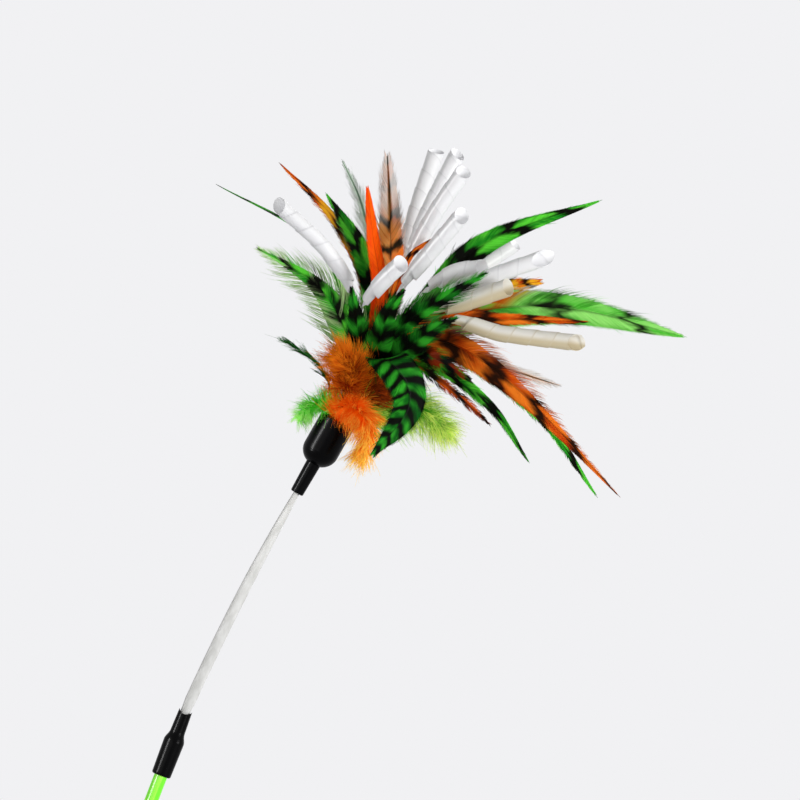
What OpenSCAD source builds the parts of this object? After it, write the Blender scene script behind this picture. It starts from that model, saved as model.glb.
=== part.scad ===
// Cat teaser wand: a clear rod with a grip, a springy twisted strip, and a cup full of feathers,
// crinkle curls and down. The rod runs along +Z and the origin is the centre of the grip.
// The side that faces -Y is the one that the feathers are arranged for.

/* [Grip and rod] */
// Length of the grip sleeve
grip_length = 115; // [80:1:160]
// Outer diameter of the grip sleeve and of the butt cap
grip_d = 10; // [8:0.5:14]
// Rounded edge at both ends of the grip
grip_edge = 0.8; // [0.3:0.1:1.5]
// Solid end wall of the butt cap
butt_wall = 4; // [2:0.5:8]
// Depth of the butt cap's socket for the rod
butt_socket = 4; // [2:0.5:8]
// Diameter of the rod
rod_d = 5.2; // [4:0.1:5.5]
// Rod left bare between the grip and the reducer sleeve
rod_bare = 172; // [80:2:300]
// Chamfer on both ends of the rod
rod_chamfer = 0.4; // [0.1:0.1:0.8]

/* [Reducer sleeve] */
// Wall of the reducer sleeve where it meets the rod
reducer_foot_wall = 1.15; // [0.9:0.05:1.4]
// Wall of the reducer sleeve below its shoulder
reducer_body_wall = 1.4; // [1.1:0.05:2]
// Length of the part that grips the rod
reducer_body_length = 14; // [10:0.5:22]
// Length of the sloping shoulder
reducer_shoulder = 4; // [2:0.5:6]
// Wall of the narrow neck of both black fittings, round the strip
neck_wall = 0.65; // [0.5:0.05:1]
// How far both necks widen towards their shoulders
neck_flare = 0.3; // [0:0.05:0.5]
// Rounding of the reducer's foot
reducer_edge = 0.8; // [0.3:0.05:0.85]
// Length of the reducer's neck
reducer_neck_length = 9; // [6:0.5:14]
// Depth of the saddle cut in the reducer's mouth
saddle_depth = 1.6; // [0.8:0.1:2.4]

/* [Springy strip] */
// Free length of the strip between the two black fittings
strip_length = 93.7; // [60:0.1:140]
// Width of the strip
strip_w = 4.4; // [3.4:0.1:4.8]
// Thickness of the strip
strip_t = 1.9; // [1.2:0.1:2.4]
// Width to which the two fittings pinch the strip
strip_pinched_w = 3.8; // [2.6:0.1:4]
// Length over which the pinch fades out
pinch_fade = 5; // [3:0.5:8]
// Strip held inside each fitting
strip_seat = 8; // [5:0.5:9]
// Bare slit at each flexing place
flex_gap = 0.5; // [0.4:0.05:0.8]
// Lean of the strip off the rod where it leaves the reducer, in degrees
lean_start = 3.4; // [0:0.1:5]
// Lean of the strip off the rod where it enters the cup, in degrees
lean_end = 8.6; // [6:0.1:14]

/* [Feather cup] */
// Room between the outermost quills and the cup's wall
cup_slack = 0.25; // [0.15:0.05:1]
// Length of the cup's wide body, mouth to shoulder
cup_body_length = 13; // [12.5:0.5:22]
// Length of the cup's rounded shoulder
cup_shoulder = 6; // [3:0.5:8]
// Length of the cup's neck
cup_neck_length = 13; // [10:0.5:18]
// Wall of the cup at its mouth
cup_wall = 1.2; // [0.9:0.1:2]
// Depth of the cup's hollow
cup_depth = 12; // [9:0.5:12]
// Rounding of the cup's edges
cup_edge = 0.6; // [0.2:0.1:0.9]
// Thickness of the glue plug in the bottom of the cup
plug_t = 6; // [3:0.5:7]

/* [Plume] */
// Reach of the longest feather past the cup's mouth
plume_reach = 140; // [120:2:170]
// Height above the mouth to which the quills stay bundled
bundle_height = 20; // [14:1:26]
// Thickness of a quill
quill_d = 0.9; // [0.6:0.05:1]
// Distance from one ring of quills to the next
quill_pitch = 1.3; // [1.2:0.02:1.6]
// Width of a broad feather
vane_w = 14; // [8:0.5:18]
// Thickness of a feather at its shaft
vane_t = 0.6; // [0.5:0.05:1.2]
// Diameter of a crinkle curl
curl_d = 6.2; // [4.5:0.1:8]
// Thickness of the curl's film
film_t = 0.2; // [0.15:0.01:0.25]
// Travel of the curl's film along the tube in one turn
curl_pitch = 8; // [6:0.5:10]
// Diameter of a full tuft of down
down_d = 12; // [9:0.5:16]

/* [Hidden] */
$fn = 64;
// Radial play where one piece slides into another
fit_gap = 0.05;
// Overrun of every cut
cut = 1;

hardware = ["butt_cap", "grip_sleeve", "rod", "reducer_sleeve",
    "flex_link_root", "flex_link_lower", "flex_link_middle", "flex_link_upper", "flex_link_tip",
    "feather_cup", "glue_plug"];

grip_r = grip_d / 2;
rod_r = rod_d / 2;
strip_bore_r = strip_pinched_w / 2 + fit_gap;
neck_r = strip_bore_r + neck_wall;
rod_bore_r = rod_r + fit_gap;
quill_rings = 4;
cup_bore_r = quill_rings * quill_pitch + quill_d / 2 + cup_slack;
cup_r = cup_bore_r + cup_wall;

grip_bottom = -grip_length / 2;
grip_top = grip_length / 2;
rod_foot = grip_bottom - butt_socket;
reducer_foot = grip_top + rod_bare;
rod_head = reducer_foot + reducer_body_length;
reducer_mouth = rod_head + reducer_shoulder + reducer_neck_length;

// Greens, oranges, white and the black-brown of the bars
black = [0.04, 0.04, 0.045];
rod_green = [0.42, 0.9, 0.25];
milky = [0.87, 0.87, 0.85];
leaf_green = [0.16, 0.6, 0.12];
pale_green = [0.5, 0.82, 0.45];
orange = [0.88, 0.38, 0.1];
red_orange = [0.95, 0.25, 0.03];
tan_orange = [0.78, 0.5, 0.28];
white = [0.95, 0.95, 0.94];
cream = [0.9, 0.87, 0.8];

// How far the head leans from upright when the wand is held up. The places in the tables below are
// [right, up, near]: rightwards, upwards and towards the viewer, from the middle of the cup's mouth
held_lean = 29.6;

// Feathers: name, colour, ring and place in the ring of the quill, then three places that the shaft
// passes as shares of plume_reach, the width as a share of vane_w, and the turn about the shaft
feather_shares = [
    ["green_feather_thin_left", leaf_green, 4, 11,
        [0.040, 0.318, -0.06], [-0.070, 0.500, -0.14], [-0.337, 0.653, -0.20], 0.36, 80],
    ["green_feather_broad_left", leaf_green, 3, 9,
        [0.015, 0.262, 0.02], [-0.060, 0.375, 0.03], [-0.224, 0.477, 0.05], 1.06, 0],
    ["green_feather_short_left", leaf_green, 2, 6,
        [0.051, 0.263, -0.005], [0.021, 0.337, -0.005], [-0.015, 0.425, -0.015], 0.32, 0],
    ["orange_feather_narrow_left", orange, 4, 10,
        [0.087, 0.330, -0.06], [0.000, 0.540, -0.14], [-0.163, 0.713, -0.20], 0.50, 30],
    ["green_feather_upper_left", leaf_green, 3, 8,
        [0.098, 0.340, -0.025], [0.056, 0.480, -0.03], [-0.034, 0.628, -0.05], 0.72, 0],
    ["pale_feather_top", pale_green, 3, 7,
        [0.111, 0.359, -0.15], [0.067, 0.593, -0.28], [0.010, 0.724, -0.33], 0.60, 0],
    ["red_orange_feather_top", red_orange, 1, 3,
        [0.117, 0.330, 0.02], [0.098, 0.500, 0.03], [0.081, 0.645, 0.03], 0.50, 35],
    ["barred_tan_feather_top", tan_orange, 2, 5,
        [0.139, 0.359, -0.105], [0.144, 0.565, -0.16], [0.136, 0.738, -0.17], 0.88, 0],
    ["orange_feather_hooked", orange, 1, 4,
        [0.155, 0.350, 0.02], [0.200, 0.452, 0.04], [0.265, 0.502, 0.05], 0.22, 20],
    ["green_feather_upper_right", leaf_green, 1, 1,
        [0.234, 0.296, -0.045], [0.392, 0.480, -0.110], [0.729, 0.609, -0.165], 0.84, 0],
    ["green_feather_far_right", pale_green, 3, 0,
        [0.300, 0.275, -0.03], [0.600, 0.312, -0.03], [0.960, 0.230, -0.01], 1.14, 0],
    ["orange_feather_back_right", orange, 2, 1,
        [0.290, 0.306, -0.11], [0.433, 0.362, -0.19], [0.565, 0.385, -0.235], 0.80, 0],
    ["brown_feather_right", orange, 3, 17,
        [0.250, 0.262, 0.055], [0.474, 0.277, 0.065], [0.694, 0.271, 0.07], 0.48, 15],
    ["orange_feather_low_right", orange, 4, 0,
        [0.240, 0.222, 0.010], [0.446, 0.128, 0.048], [0.776, -0.210, 0.05], 0.94, 0],
    ["pale_orange_feather_right", tan_orange, 4, 2,
        [0.254, 0.213, -0.10], [0.446, 0.150, -0.16], [0.617, 0.095, -0.19], 0.46, 0],
    ["green_feather_low_right", leaf_green, 4, 22,
        [0.225, 0.162, 0.055], [0.413, 0.043, 0.12], [0.526, -0.116, 0.15], 0.42, 10],
    ["green_feather_lowest_right", leaf_green, 3, 1,
        [0.268, 0.195, -0.04], [0.543, 0.024, -0.09], [0.716, -0.212, -0.12], 0.40, 0],
    ["orange_feather_thin_low", orange, 4, 21,
        [0.200, 0.155, 0.16], [0.323, 0.076, 0.23], [0.419, -0.012, 0.25], 0.26, -60],
    ["green_feather_hanging", leaf_green, 4, 19,
        [0.135, 0.165, 0.19], [0.196, 0.052, 0.28], [0.095, -0.097, 0.25], 1.05, 70],
    ["green_feather_front_left", leaf_green, 3, 12,
        [0.060, 0.212, 0.092], [0.051, 0.290, 0.135], [0.038, 0.368, 0.165], 0.70, 0],
    ["green_feather_front", leaf_green, 3, 14,
        [0.118, 0.222, 0.13], [0.142, 0.300, 0.20], [0.184, 0.360, 0.26], 0.80, 0],
    ["green_feather_front_right", leaf_green, 3, 15,
        [0.190, 0.196, 0.15], [0.256, 0.246, 0.25], [0.330, 0.284, 0.33], 0.74, 0],
    ["pale_feather_right", pale_green, 2, 10,
        [0.175, 0.255, 0.10], [0.290, 0.335, 0.17], [0.413, 0.408, 0.20], 0.66, 0],
    ["green_feather_front_low", leaf_green, 3, 16,
        [0.172, 0.178, 0.09], [0.262, 0.172, 0.16], [0.368, 0.112, 0.21], 0.78, -30],
    ["green_feather_back_left", leaf_green, 4, 8,
        [0.062, 0.225, -0.13], [0.045, 0.285, -0.28], [0.035, 0.300, -0.45], 0.72, 0],
    ["orange_feather_back", orange, 2, 4,
        [0.110, 0.265, -0.12], [0.140, 0.330, -0.30], [0.170, 0.345, -0.50], 0.72, 0],
    ["green_feather_back_right", leaf_green, 3, 4,
        [0.150, 0.230, -0.14], [0.240, 0.260, -0.33], [0.330, 0.240, -0.50], 0.80, 0],
    ["orange_feather_back_low", orange, 4, 5,
        [0.120, 0.205, -0.16], [0.150, 0.185, -0.33], [0.180, 0.100, -0.48], 0.72, 0]];

// Crinkle curls: the same, with the width as a share of curl_d
curl_shares = [
    ["curl_left", white, 3, 10,
        [0.052, 0.318, 0.06], [-0.026, 0.462, 0.10], [-0.160, 0.590, 0.12], 0.92],
    ["curl_short_front", white, 2, 8,
        [0.067, 0.299, 0.12], [0.111, 0.367, 0.17], [0.174, 0.430, 0.20], 1.06],
    ["curl_top_back", white, 2, 3,
        [0.166, 0.400, -0.16], [0.220, 0.590, -0.26], [0.272, 0.745, -0.32], 1.00],
    ["curl_top_middle", white, 1, 2,
        [0.190, 0.440, -0.05], [0.256, 0.590, -0.11], [0.330, 0.735, -0.15], 1.00],
    ["curl_top_front", white, 0, 0,
        [0.180, 0.400, 0.00], [0.262, 0.560, 0.01], [0.345, 0.683, 0.01], 1.00],
    ["curl_upper_front", white, 1, 5,
        [0.163, 0.345, 0.06], [0.249, 0.455, 0.10], [0.340, 0.562, 0.13], 1.00],
    ["curl_stub", white, 1, 0,
        [0.225, 0.340, -0.02], [0.315, 0.405, -0.03], [0.397, 0.420, -0.03], 1.06],
    ["curl_pale_back", white, 2, 2,
        [0.260, 0.330, -0.17], [0.390, 0.420, -0.27], [0.490, 0.488, -0.32], 0.90],
    ["curl_right_upper", white, 2, 0,
        [0.255, 0.322, 0.03], [0.420, 0.395, 0.04], [0.565, 0.446, 0.04], 1.00],
    ["curl_right_middle", cream, 2, 11,
        [0.235, 0.288, 0.08], [0.360, 0.328, 0.11], [0.468, 0.366, 0.12], 1.10],
    ["curl_right_low", cream, 4, 23,
        [0.281, 0.271, 0.108], [0.452, 0.2385, 0.136], [0.655, 0.214, 0.14], 0.99]];

// Tufts of down: the same, with the width as a share of down_d
down_shares = [
    ["orange_down_front", orange, 4, 16,
        [0.026, 0.090, 0.082], [0.036, 0.145, 0.118], [0.000, 0.182, 0.138], 1.10],
    ["green_down_left", leaf_green, 4, 13,
        [-0.032, 0.046, 0.016], [-0.072, 0.040, 0.022], [-0.112, 0.004, 0.022], 0.50],
    ["orange_down_hanging", orange, 4, 18,
        [0.052, 0.035, 0.106], [0.084, -0.018, 0.130], [0.062, -0.108, 0.116], 0.96],
    ["yellow_green_down_right", pale_green, 4, 1,
        [0.115, 0.031, -0.014], [0.202, 0.040, 0.003], [0.305, -0.028, 0.018], 0.78],
    ["green_down_upper_left", leaf_green, 4, 12,
        [-0.030, 0.120, -0.010], [-0.078, 0.175, -0.015], [-0.135, 0.215, -0.020], 0.50],
    ["orange_down_right", orange, 4, 20,
        [0.085, 0.065, 0.070], [0.130, 0.100, 0.110], [0.175, 0.075, 0.150], 0.46],
    ["orange_down_back", orange, 4, 7,
        [0.030, 0.060, -0.085], [0.040, 0.095, -0.140], [-0.010, 0.090, -0.200], 0.84],
    ["green_down_back", leaf_green, 4, 3,
        [0.100, 0.055, -0.085], [0.162, 0.085, -0.135], [0.215, 0.030, -0.190], 0.78]];

// Solids of revolution from a half outline of [radius, height] points
module turned(outline) rotate_extrude() polygon(outline);

module butt_cap() color(black)
    difference() {
        translate([0, 0, rod_foot - butt_wall]) turned([
            [0, 0], [grip_r - grip_edge, 0], [grip_r, grip_edge],
            [grip_r, butt_wall + butt_socket], [0, butt_wall + butt_socket]]);
        translate([0, 0, rod_foot]) cylinder(r = rod_bore_r, h = butt_socket + cut);
    }

module grip_sleeve() color(black)
    difference() {
        translate([0, 0, grip_bottom]) turned([
            [0, 0], [grip_r, 0], [grip_r, grip_length - grip_edge],
            [grip_r - grip_edge, grip_length], [0, grip_length]]);
        translate([0, 0, grip_bottom - cut]) cylinder(r = rod_bore_r, h = grip_length + 2 * cut);
    }

module rod() color(rod_green)
    translate([0, 0, rod_foot]) turned([
        [0, 0], [rod_r - rod_chamfer, 0], [rod_r, rod_chamfer],
        [rod_r, rod_head - rod_foot - rod_chamfer], [rod_r - rod_chamfer, rod_head - rod_foot],
        [0, rod_head - rod_foot]]);

// A quarter round of radius r about [x, z], from the angle a on
function round_edge(x, z, r, a) = [for (k = [0:4]) [x + r * cos(a + 22.5 * k), z + r * sin(a + 22.5 * k)]];

reducer_foot_r = rod_bore_r + reducer_foot_wall;
reducer_body_r = rod_bore_r + reducer_body_wall;
saddle_r = (neck_r * neck_r + saddle_depth * saddle_depth) / (2 * saddle_depth);
module reducer_sleeve() color(black)
    difference() {
        translate([0, 0, reducer_foot]) turned(concat(
            [[0, 0]], round_edge(reducer_foot_r - reducer_edge, reducer_edge, reducer_edge, -90),
            [for (k = [0:6]) [reducer_body_r + (neck_r + neck_flare - reducer_body_r) * fade(k / 6),
                reducer_body_length + reducer_shoulder * k / 6]],
            [[neck_r, reducer_mouth - reducer_foot], [0, reducer_mouth - reducer_foot]]));
        translate([0, 0, reducer_foot - cut]) cylinder(r = rod_bore_r, h = reducer_body_length + cut);
        translate([0, 0, rod_head - cut]) cylinder(r = strip_bore_r, h = reducer_mouth - rod_head + 2 * cut);
        translate([0, 0, reducer_mouth - saddle_depth + saddle_r]) rotate([90, 0, 0])
            cylinder(r = saddle_r, h = 2 * neck_r + 2 * cut, center = true);
    }

// The strip's middle line is an arc in the XZ plane, measured from the reducer's mouth.
// Before the mouth and past the cup it runs on straight
bend_r = strip_length / ((lean_end - lean_start) * PI / 180);
function lean_at(s) = lean_start + (lean_end - lean_start) * min(max(s / strip_length, 0), 1);
function along(angle) = [sin(angle), 0, cos(angle)];
function strip_at(s) =
    s < 0 ? [0, 0, reducer_mouth + s] :
    [0, 0, reducer_mouth] + bend_r * [cos(lean_start) - cos(lean_at(s)), 0, sin(lean_at(s)) - sin(lean_start)]
        + max(s - strip_length, 0) * along(lean_end);
function heading_at(s) = along(s < 0 ? 0 : lean_at(s));

// The strip shows its broad face at the reducer and its edge at the cup
whole_twist = 70;
twist_ease = 2;
function twist_at(s) = whole_twist * pow(min(max(s / strip_length, 0), 1), twist_ease);
function fade(x) = let (c = min(max(x, 0), 1)) c * c * (3 - 2 * c);
function strip_w_at(s) = strip_pinched_w + (strip_w - strip_pinched_w)
    * fade(min(s, strip_length - s) / pinch_fade);

strip_sides = 10;
end_rings = 3;
nose_angle = 80;
// One oval ring of points across the strip, drawn in by the share draw
function strip_ring(s, draw) = let (
        t = heading_at(s), side = [t[2], 0, -t[0]], turn = twist_at(s),
        broad = side * cos(turn) + [0, sin(turn), 0], flat = [0, cos(turn), 0] - side * sin(turn))
    [for (k = [0:strip_sides - 1]) let (a = 360 * k / strip_sides)
        strip_at(s) + draw * (broad * cos(a) * strip_w_at(s) / 2 + flat * sin(a) * strip_t / 2)];

// Rings joined into a closed skin. Each ring runs the same way round its middle line. A face with four
// corners is split in two across one pair of them, or across the other pair where flip is true
function skin_faces(rings, sides, flip) = concat(
    [for (j = [0:rings - 2], k = [0:sides - 1]) let (n = (k + 1) % sides)
        [j * sides + k, (j + 1) * sides + k, flip ? (j + 1) * sides + n : j * sides + n]],
    [for (j = [0:rings - 2], k = [0:sides - 1]) let (n = (k + 1) % sides)
        [flip ? j * sides + k : (j + 1) * sides + k, (j + 1) * sides + n, j * sides + n]],
    [for (k = [1:sides - 2]) [0, k, k + 1]],
    [for (k = [1:sides - 2]) (rings - 1) * sides * [1, 1, 1] + [0, k + 1, k]]);
module skin(rings, flip = false) polyhedron(
    points = [for (ring = rings) each ring], faces = skin_faces(len(rings), len(rings[0]), flip));

// A length of strip from s0 to s1, with a round nose at each end that flexes
module strip_piece(s0, s1, nose0, nose1) {
    nose = strip_w / 2;
    a0 = s0 + (nose0 ? nose : 0);
    a1 = s1 - (nose1 ? nose : 0);
    steps = max(2, round((a1 - a0) / strip_w));
    out = [for (j = [1:end_rings]) nose * sin(nose_angle * j / end_rings) / sin(nose_angle)];
    draw = [for (j = [1:end_rings]) cos(nose_angle * j / end_rings)];
    skin(concat(
        nose0 ? [for (j = [end_rings - 1:-1:0]) strip_ring(a0 - out[j], draw[j])] : [],
        [for (j = [0:steps]) strip_ring(a0 + (a1 - a0) * j / steps, 1)],
        nose1 ? [for (j = [0:end_rings - 1]) strip_ring(a1 + out[j], draw[j])] : []));
}

// The strip flexes at four places, one eighth, three, five and seven eighths of the way along
function flex_place(i) = strip_length * (2 * i - 1) / 8;
half_gap = flex_gap / 2;
module flex_link_root() color(milky)
    strip_piece(-strip_seat, flex_place(1) - half_gap, false, true);
module flex_link_lower() color(milky)
    strip_piece(flex_place(1) + half_gap, flex_place(2) - half_gap, true, true);
module flex_link_middle() color(milky)
    strip_piece(flex_place(2) + half_gap, flex_place(3) - half_gap, true, true);
module flex_link_upper() color(milky)
    strip_piece(flex_place(3) + half_gap, flex_place(4) - half_gap, true, true);
module flex_link_tip() color(milky)
    strip_piece(flex_place(4) + half_gap, strip_length + strip_seat, true, false);

// The head's own axes: origin in the middle of the cup's mouth, +Z out of the cup
cup_length = cup_body_length + cup_shoulder + cup_neck_length;
module at_head() translate(strip_at(strip_length + cup_length)) rotate([0, lean_end, 0]) children();

// The shoulder is part of an oval that starts where it is as wide as the top of the neck
cup_tuck = asin((neck_r + neck_flare) / cup_r);
module feather_cup() color(black) at_head()
    difference() {
        translate([0, 0, -cup_length]) turned(concat(
            [[0, 0]], round_edge(neck_r - cup_edge, cup_edge, cup_edge, -90),
            [for (k = [0:8]) let (a = cup_tuck + (90 - cup_tuck) * k / 8) [cup_r * sin(a),
                cup_neck_length + cup_shoulder * (1 - cos(a) / cos(cup_tuck))]],
            round_edge(cup_r - cup_edge, cup_length - cup_edge, cup_edge, 0), [[0, cup_length]]));
        translate([0, 0, -cup_depth]) cylinder(r = cup_bore_r, h = cup_depth + cut);
        translate([0, 0, -cup_length - cut]) cylinder(r = strip_bore_r, h = strip_seat + 2 * cut);
    }

plug_top = plug_t - cup_depth;
module glue_plug() color(cream) at_head()
    translate([0, 0, -cup_depth]) cylinder(r = cup_bore_r - fit_gap, h = plug_t);

// A place of the tables turned from upright axes to the head's own
function head_place(share) = plume_reach * [
    share[0] * cos(held_lean) - share[1] * sin(held_lean),
    -share[2],
    share[0] * sin(held_lean) + share[1] * cos(held_lean)];

// Quills stand in rings about the middle, six more in each ring, and spread a little as they rise
bundle_spread = 1.2;
function quill_place(ring, place) = ring * quill_pitch
    * [cos(60 * place / max(ring, 1)), sin(60 * place / max(ring, 1)), 0];
function knots_of(row, height, spread) = let (foot = quill_place(row[2], row[3])) [
    [foot[0], foot[1], plug_top],
    [foot[0] * spread, foot[1] * spread, height],
    head_place(row[4]), head_place(row[5]), head_place(row[6])];

function unit(v) = v / norm(v);
// The shaft's place at t, which counts 0 to 3 from the end of the bundle through the three places
function shaft_dirs(k) = [unit(k[1] - k[0]), unit(k[3] - k[1]), unit(k[4] - k[2]), unit(k[4] - k[3])];
function shaft_at(k, dirs, t) = let (
        i = min(floor(t), 2), u = t - i, p = k[i + 1], q = k[i + 2], span = norm(q - p),
        m = dirs[i] * span, n = dirs[i + 1] * span)
    p * (2 * u * u * u - 3 * u * u + 1) + m * (u * u * u - 2 * u * u + u)
        + q * (3 * u * u - 2 * u * u * u) + n * (u * u * u - u * u);

// Directions across a line of points, carried along it without twist from the first one, start
function tangents(p) = let (last = len(p) - 1)
    [for (i = [0:last]) unit(p[min(i + 1, last)] - p[max(i - 1, 0)])];
function square_to(v, t) = unit(v - (v * t) * t);
function carried(t, start) =
    [for (i = 0, n = square_to(start, t[0]); i < len(t);
        i = i + 1, n = i < len(t) ? square_to(n, t[i]) : n) n];

// A feather: bare quill, then a lens-shaped vane that is broadest half way and ends in a point
vane_steps = 12;
bare_share = 0.1;
vane_lead = 1.2;
vane_fullness = 0.75;
vane_flat_share = 0.4;
vane_thinned_share = 0.8;
tip_share = 0.03;
function settled(s) = fade(2 * s);
// Fullness of a leaf or drop shape at s, 0 to 1 along it
function leaf(s, lead, fullness) = s >= 1 ? tip_share : pow(sin(180 * pow(s, lead)), fullness);
module feather(row) color(row[1]) at_head() {
    k = knots_of(row, bundle_height, bundle_spread);
    dirs = shaft_dirs(k);
    line = concat([k[0], (k[0] + k[1]) / 2], [for (j = [0:vane_steps]) shaft_at(k, dirs, 3 * j / vane_steps)]);
    t = tangents(line);
    faces_viewer = carried(t, [0, -1, 0]);
    skin([for (i = [0:len(line) - 1]) let (
            s = max(i - 2, 0) / vane_steps,
            full = s < bare_share ? 0 : leaf(s, vane_lead, vane_fullness),
            turn = row[8] * settled(s),
            out = faces_viewer[i] * cos(turn) + cross(t[i], faces_viewer[i]) * sin(turn),
            over = cross(out, t[i]),
            slim = i == len(line) - 1 ? tip_share : 1,
            w = slim * quill_d / 2 + full * max(row[7] * vane_w - quill_d, 0) / 2,
            h = (quill_d + (vane_t - quill_d) * settled(s)) / 2 * (1 - vane_thinned_share * s * s))
        [for (c = [[1, 0], [vane_flat_share, 1], [-vane_flat_share, 1],
                [-1, 0], [-vane_flat_share, -1], [vane_flat_share, -1]])
            line[i] + over * c[0] * w + out * c[1] * h]]);
}

// A curl: a quill of tightly rolled film up to the first place, then a film wound in a spiral that
// opens within the first turns and leaves a fine slit between one turn and the next
curl_stations = 9;
curl_open_turns = 1.6;
film_half_share = 0.43;
// Distance of the point p from the line between a and b
function off_line(p, a, b) = let (along = (p - a) * (b - a) / ((b - a) * (b - a)))
    norm(p - a - min(max(along, 0), 1) * (b - a));
module curl(row) color(row[1]) at_head() {
    k = knots_of(row, bundle_height, bundle_spread);
    dirs = shaft_dirs(k);
    counts = [for (i = [2, 3]) round(norm(k[i + 1] - k[i]) / curl_pitch * curl_stations)];
    rolled = [k[0], k[1], shaft_at(k, dirs, 1 / 3), shaft_at(k, dirs, 2 / 3)];
    line = concat(rolled,
        [for (i = [0, 1], j = [0:counts[i] - 1]) shaft_at(k, dirs, 1 + i + j / counts[i])], [k[4]]);
    t = tangents(line);
    n = carried(t, [0, -1, 0]);
    tube_r = row[7] * curl_d / 2;
    roll_r = quill_d / 2;
    lead = atan(curl_pitch / (2 * PI * tube_r));
    half = film_half_share * curl_pitch * cos(lead);
    spread = half * sin(lead) / tube_r * 180 / PI;
    rings = [for (i = [0:len(line) - 1]) let (
            j = i - len(rolled),
            open = fade(j / curl_stations / curl_open_turns),
            grow = (roll_r + (tube_r - roll_r) * open) / tube_r,
            phase = -360 * j / curl_stations)
        j < 0 ?
            [for (c = [[-1, 1], [-1, -1], [1, -1], [1, 1]])
                line[i] + (n[i] * c[0] + cross(t[i], n[i]) * c[1]) * roll_r] :
            [for (c = [[1, 0], [-1, 0], [-1, 1], [1, 1]]) let (a = phase + c[0] * spread)
                line[i] + t[i] * half * cos(lead) * grow * c[0]
                    + (n[i] * cos(a) + cross(t[i], n[i]) * sin(a)) * (tube_r * grow + c[1] * film_t)]];
    skin(rings, flip = true);
    // Prints the least gap between one turn of the film and the next
    slits = [for (i = [len(rolled):len(rings) - curl_stations - 1], m = [i + 1:i + curl_stations])
        if (m > i + curl_stations / 2) off_line(rings[i][0], rings[m - 1][1], rings[m][1])];
    echo(curl = row[0], least_gap_between_turns = min(slits));
}

// A tuft of down: a quill that leaves the bundle just above the mouth and swells to a soft drop
down_sides = 10;
down_steps = 10;
down_lead = 1.7;
down_fullness = 0.6;
lip_height = 1.5;
lobe_share = 0.12;
module down(row) color(row[1]) at_head() {
    k = knots_of(row, lip_height, 1);
    dirs = shaft_dirs(k);
    line = concat([k[0]], [for (j = [0:down_steps]) shaft_at(k, dirs, 3 * j / down_steps)]);
    t = tangents(line);
    n = carried(t, [0, -1, 0]);
    skin([for (i = [0:len(line) - 1]) let (
            s = max(i - 1, 0) / down_steps,
            full = leaf(s, down_lead, down_fullness),
            r = quill_d / 2 + full * (row[7] * down_d - quill_d) / 2)
        [for (c = [0:down_sides - 1]) let (
                a = 360 * c / down_sides,
                rr = r * (1 - lobe_share * fade(full) * (c % 2)))
            line[i] + (n[i] * cos(a) + cross(t[i], n[i]) * sin(a)) * rr]]);
}

butt_cap();
grip_sleeve();
rod();
reducer_sleeve();
flex_link_root();
flex_link_lower();
flex_link_middle();
flex_link_upper();
flex_link_tip();
feather_cup();
glue_plug();
for (row = feather_shares) feather(row);
for (row = curl_shares) curl(row);
for (row = down_shares) down(row);
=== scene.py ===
# %% [markdown]
# # Cat teaser wand
# A clear green rod carries a springy, twisted strip. On the strip sits a black cup full of barred feathers,
# white crinkle curls and soft down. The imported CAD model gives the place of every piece, and this lesson
# dresses it: each step says what the piece is, how it could be made and why this way was chosen.

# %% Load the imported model
import math

import bpy
import numpy as np
from mathutils import Matrix, Vector


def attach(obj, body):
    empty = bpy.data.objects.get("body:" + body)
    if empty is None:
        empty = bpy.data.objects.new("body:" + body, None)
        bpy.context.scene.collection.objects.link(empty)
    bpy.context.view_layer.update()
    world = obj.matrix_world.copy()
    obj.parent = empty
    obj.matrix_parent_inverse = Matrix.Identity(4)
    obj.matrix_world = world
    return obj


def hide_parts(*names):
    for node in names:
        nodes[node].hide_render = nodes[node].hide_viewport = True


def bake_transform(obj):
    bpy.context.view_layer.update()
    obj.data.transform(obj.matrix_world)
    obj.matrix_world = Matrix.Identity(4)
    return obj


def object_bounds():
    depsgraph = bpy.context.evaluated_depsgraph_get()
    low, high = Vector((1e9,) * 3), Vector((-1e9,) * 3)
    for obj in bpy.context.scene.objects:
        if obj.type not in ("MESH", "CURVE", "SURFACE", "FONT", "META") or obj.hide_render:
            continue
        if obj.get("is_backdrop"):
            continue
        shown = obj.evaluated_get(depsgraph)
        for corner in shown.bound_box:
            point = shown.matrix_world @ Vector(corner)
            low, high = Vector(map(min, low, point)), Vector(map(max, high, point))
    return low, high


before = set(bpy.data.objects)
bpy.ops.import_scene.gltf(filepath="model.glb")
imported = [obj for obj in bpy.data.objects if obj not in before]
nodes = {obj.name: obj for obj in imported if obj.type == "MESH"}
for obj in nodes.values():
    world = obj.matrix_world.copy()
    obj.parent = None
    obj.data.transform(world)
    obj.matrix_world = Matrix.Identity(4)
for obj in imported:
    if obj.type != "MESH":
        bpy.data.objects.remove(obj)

cad_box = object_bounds()
bpy.ops.object.select_all(action="DESELECT")
print("nodes:", len(nodes), "box:", [round(v, 4) for v in (*cad_box[0], *cad_box[1])])

# %% [markdown]
# ## The strip's line and the head's axes
# The strip is an arc that leans a little more as it rises, and it twists by 70 degrees on the way. The cup
# sits on its end. These are the CAD's own sizes in millimetres, so a piece that is placed by them lies where
# the CAD has it. Everything is turned into metres at the last step.

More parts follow.
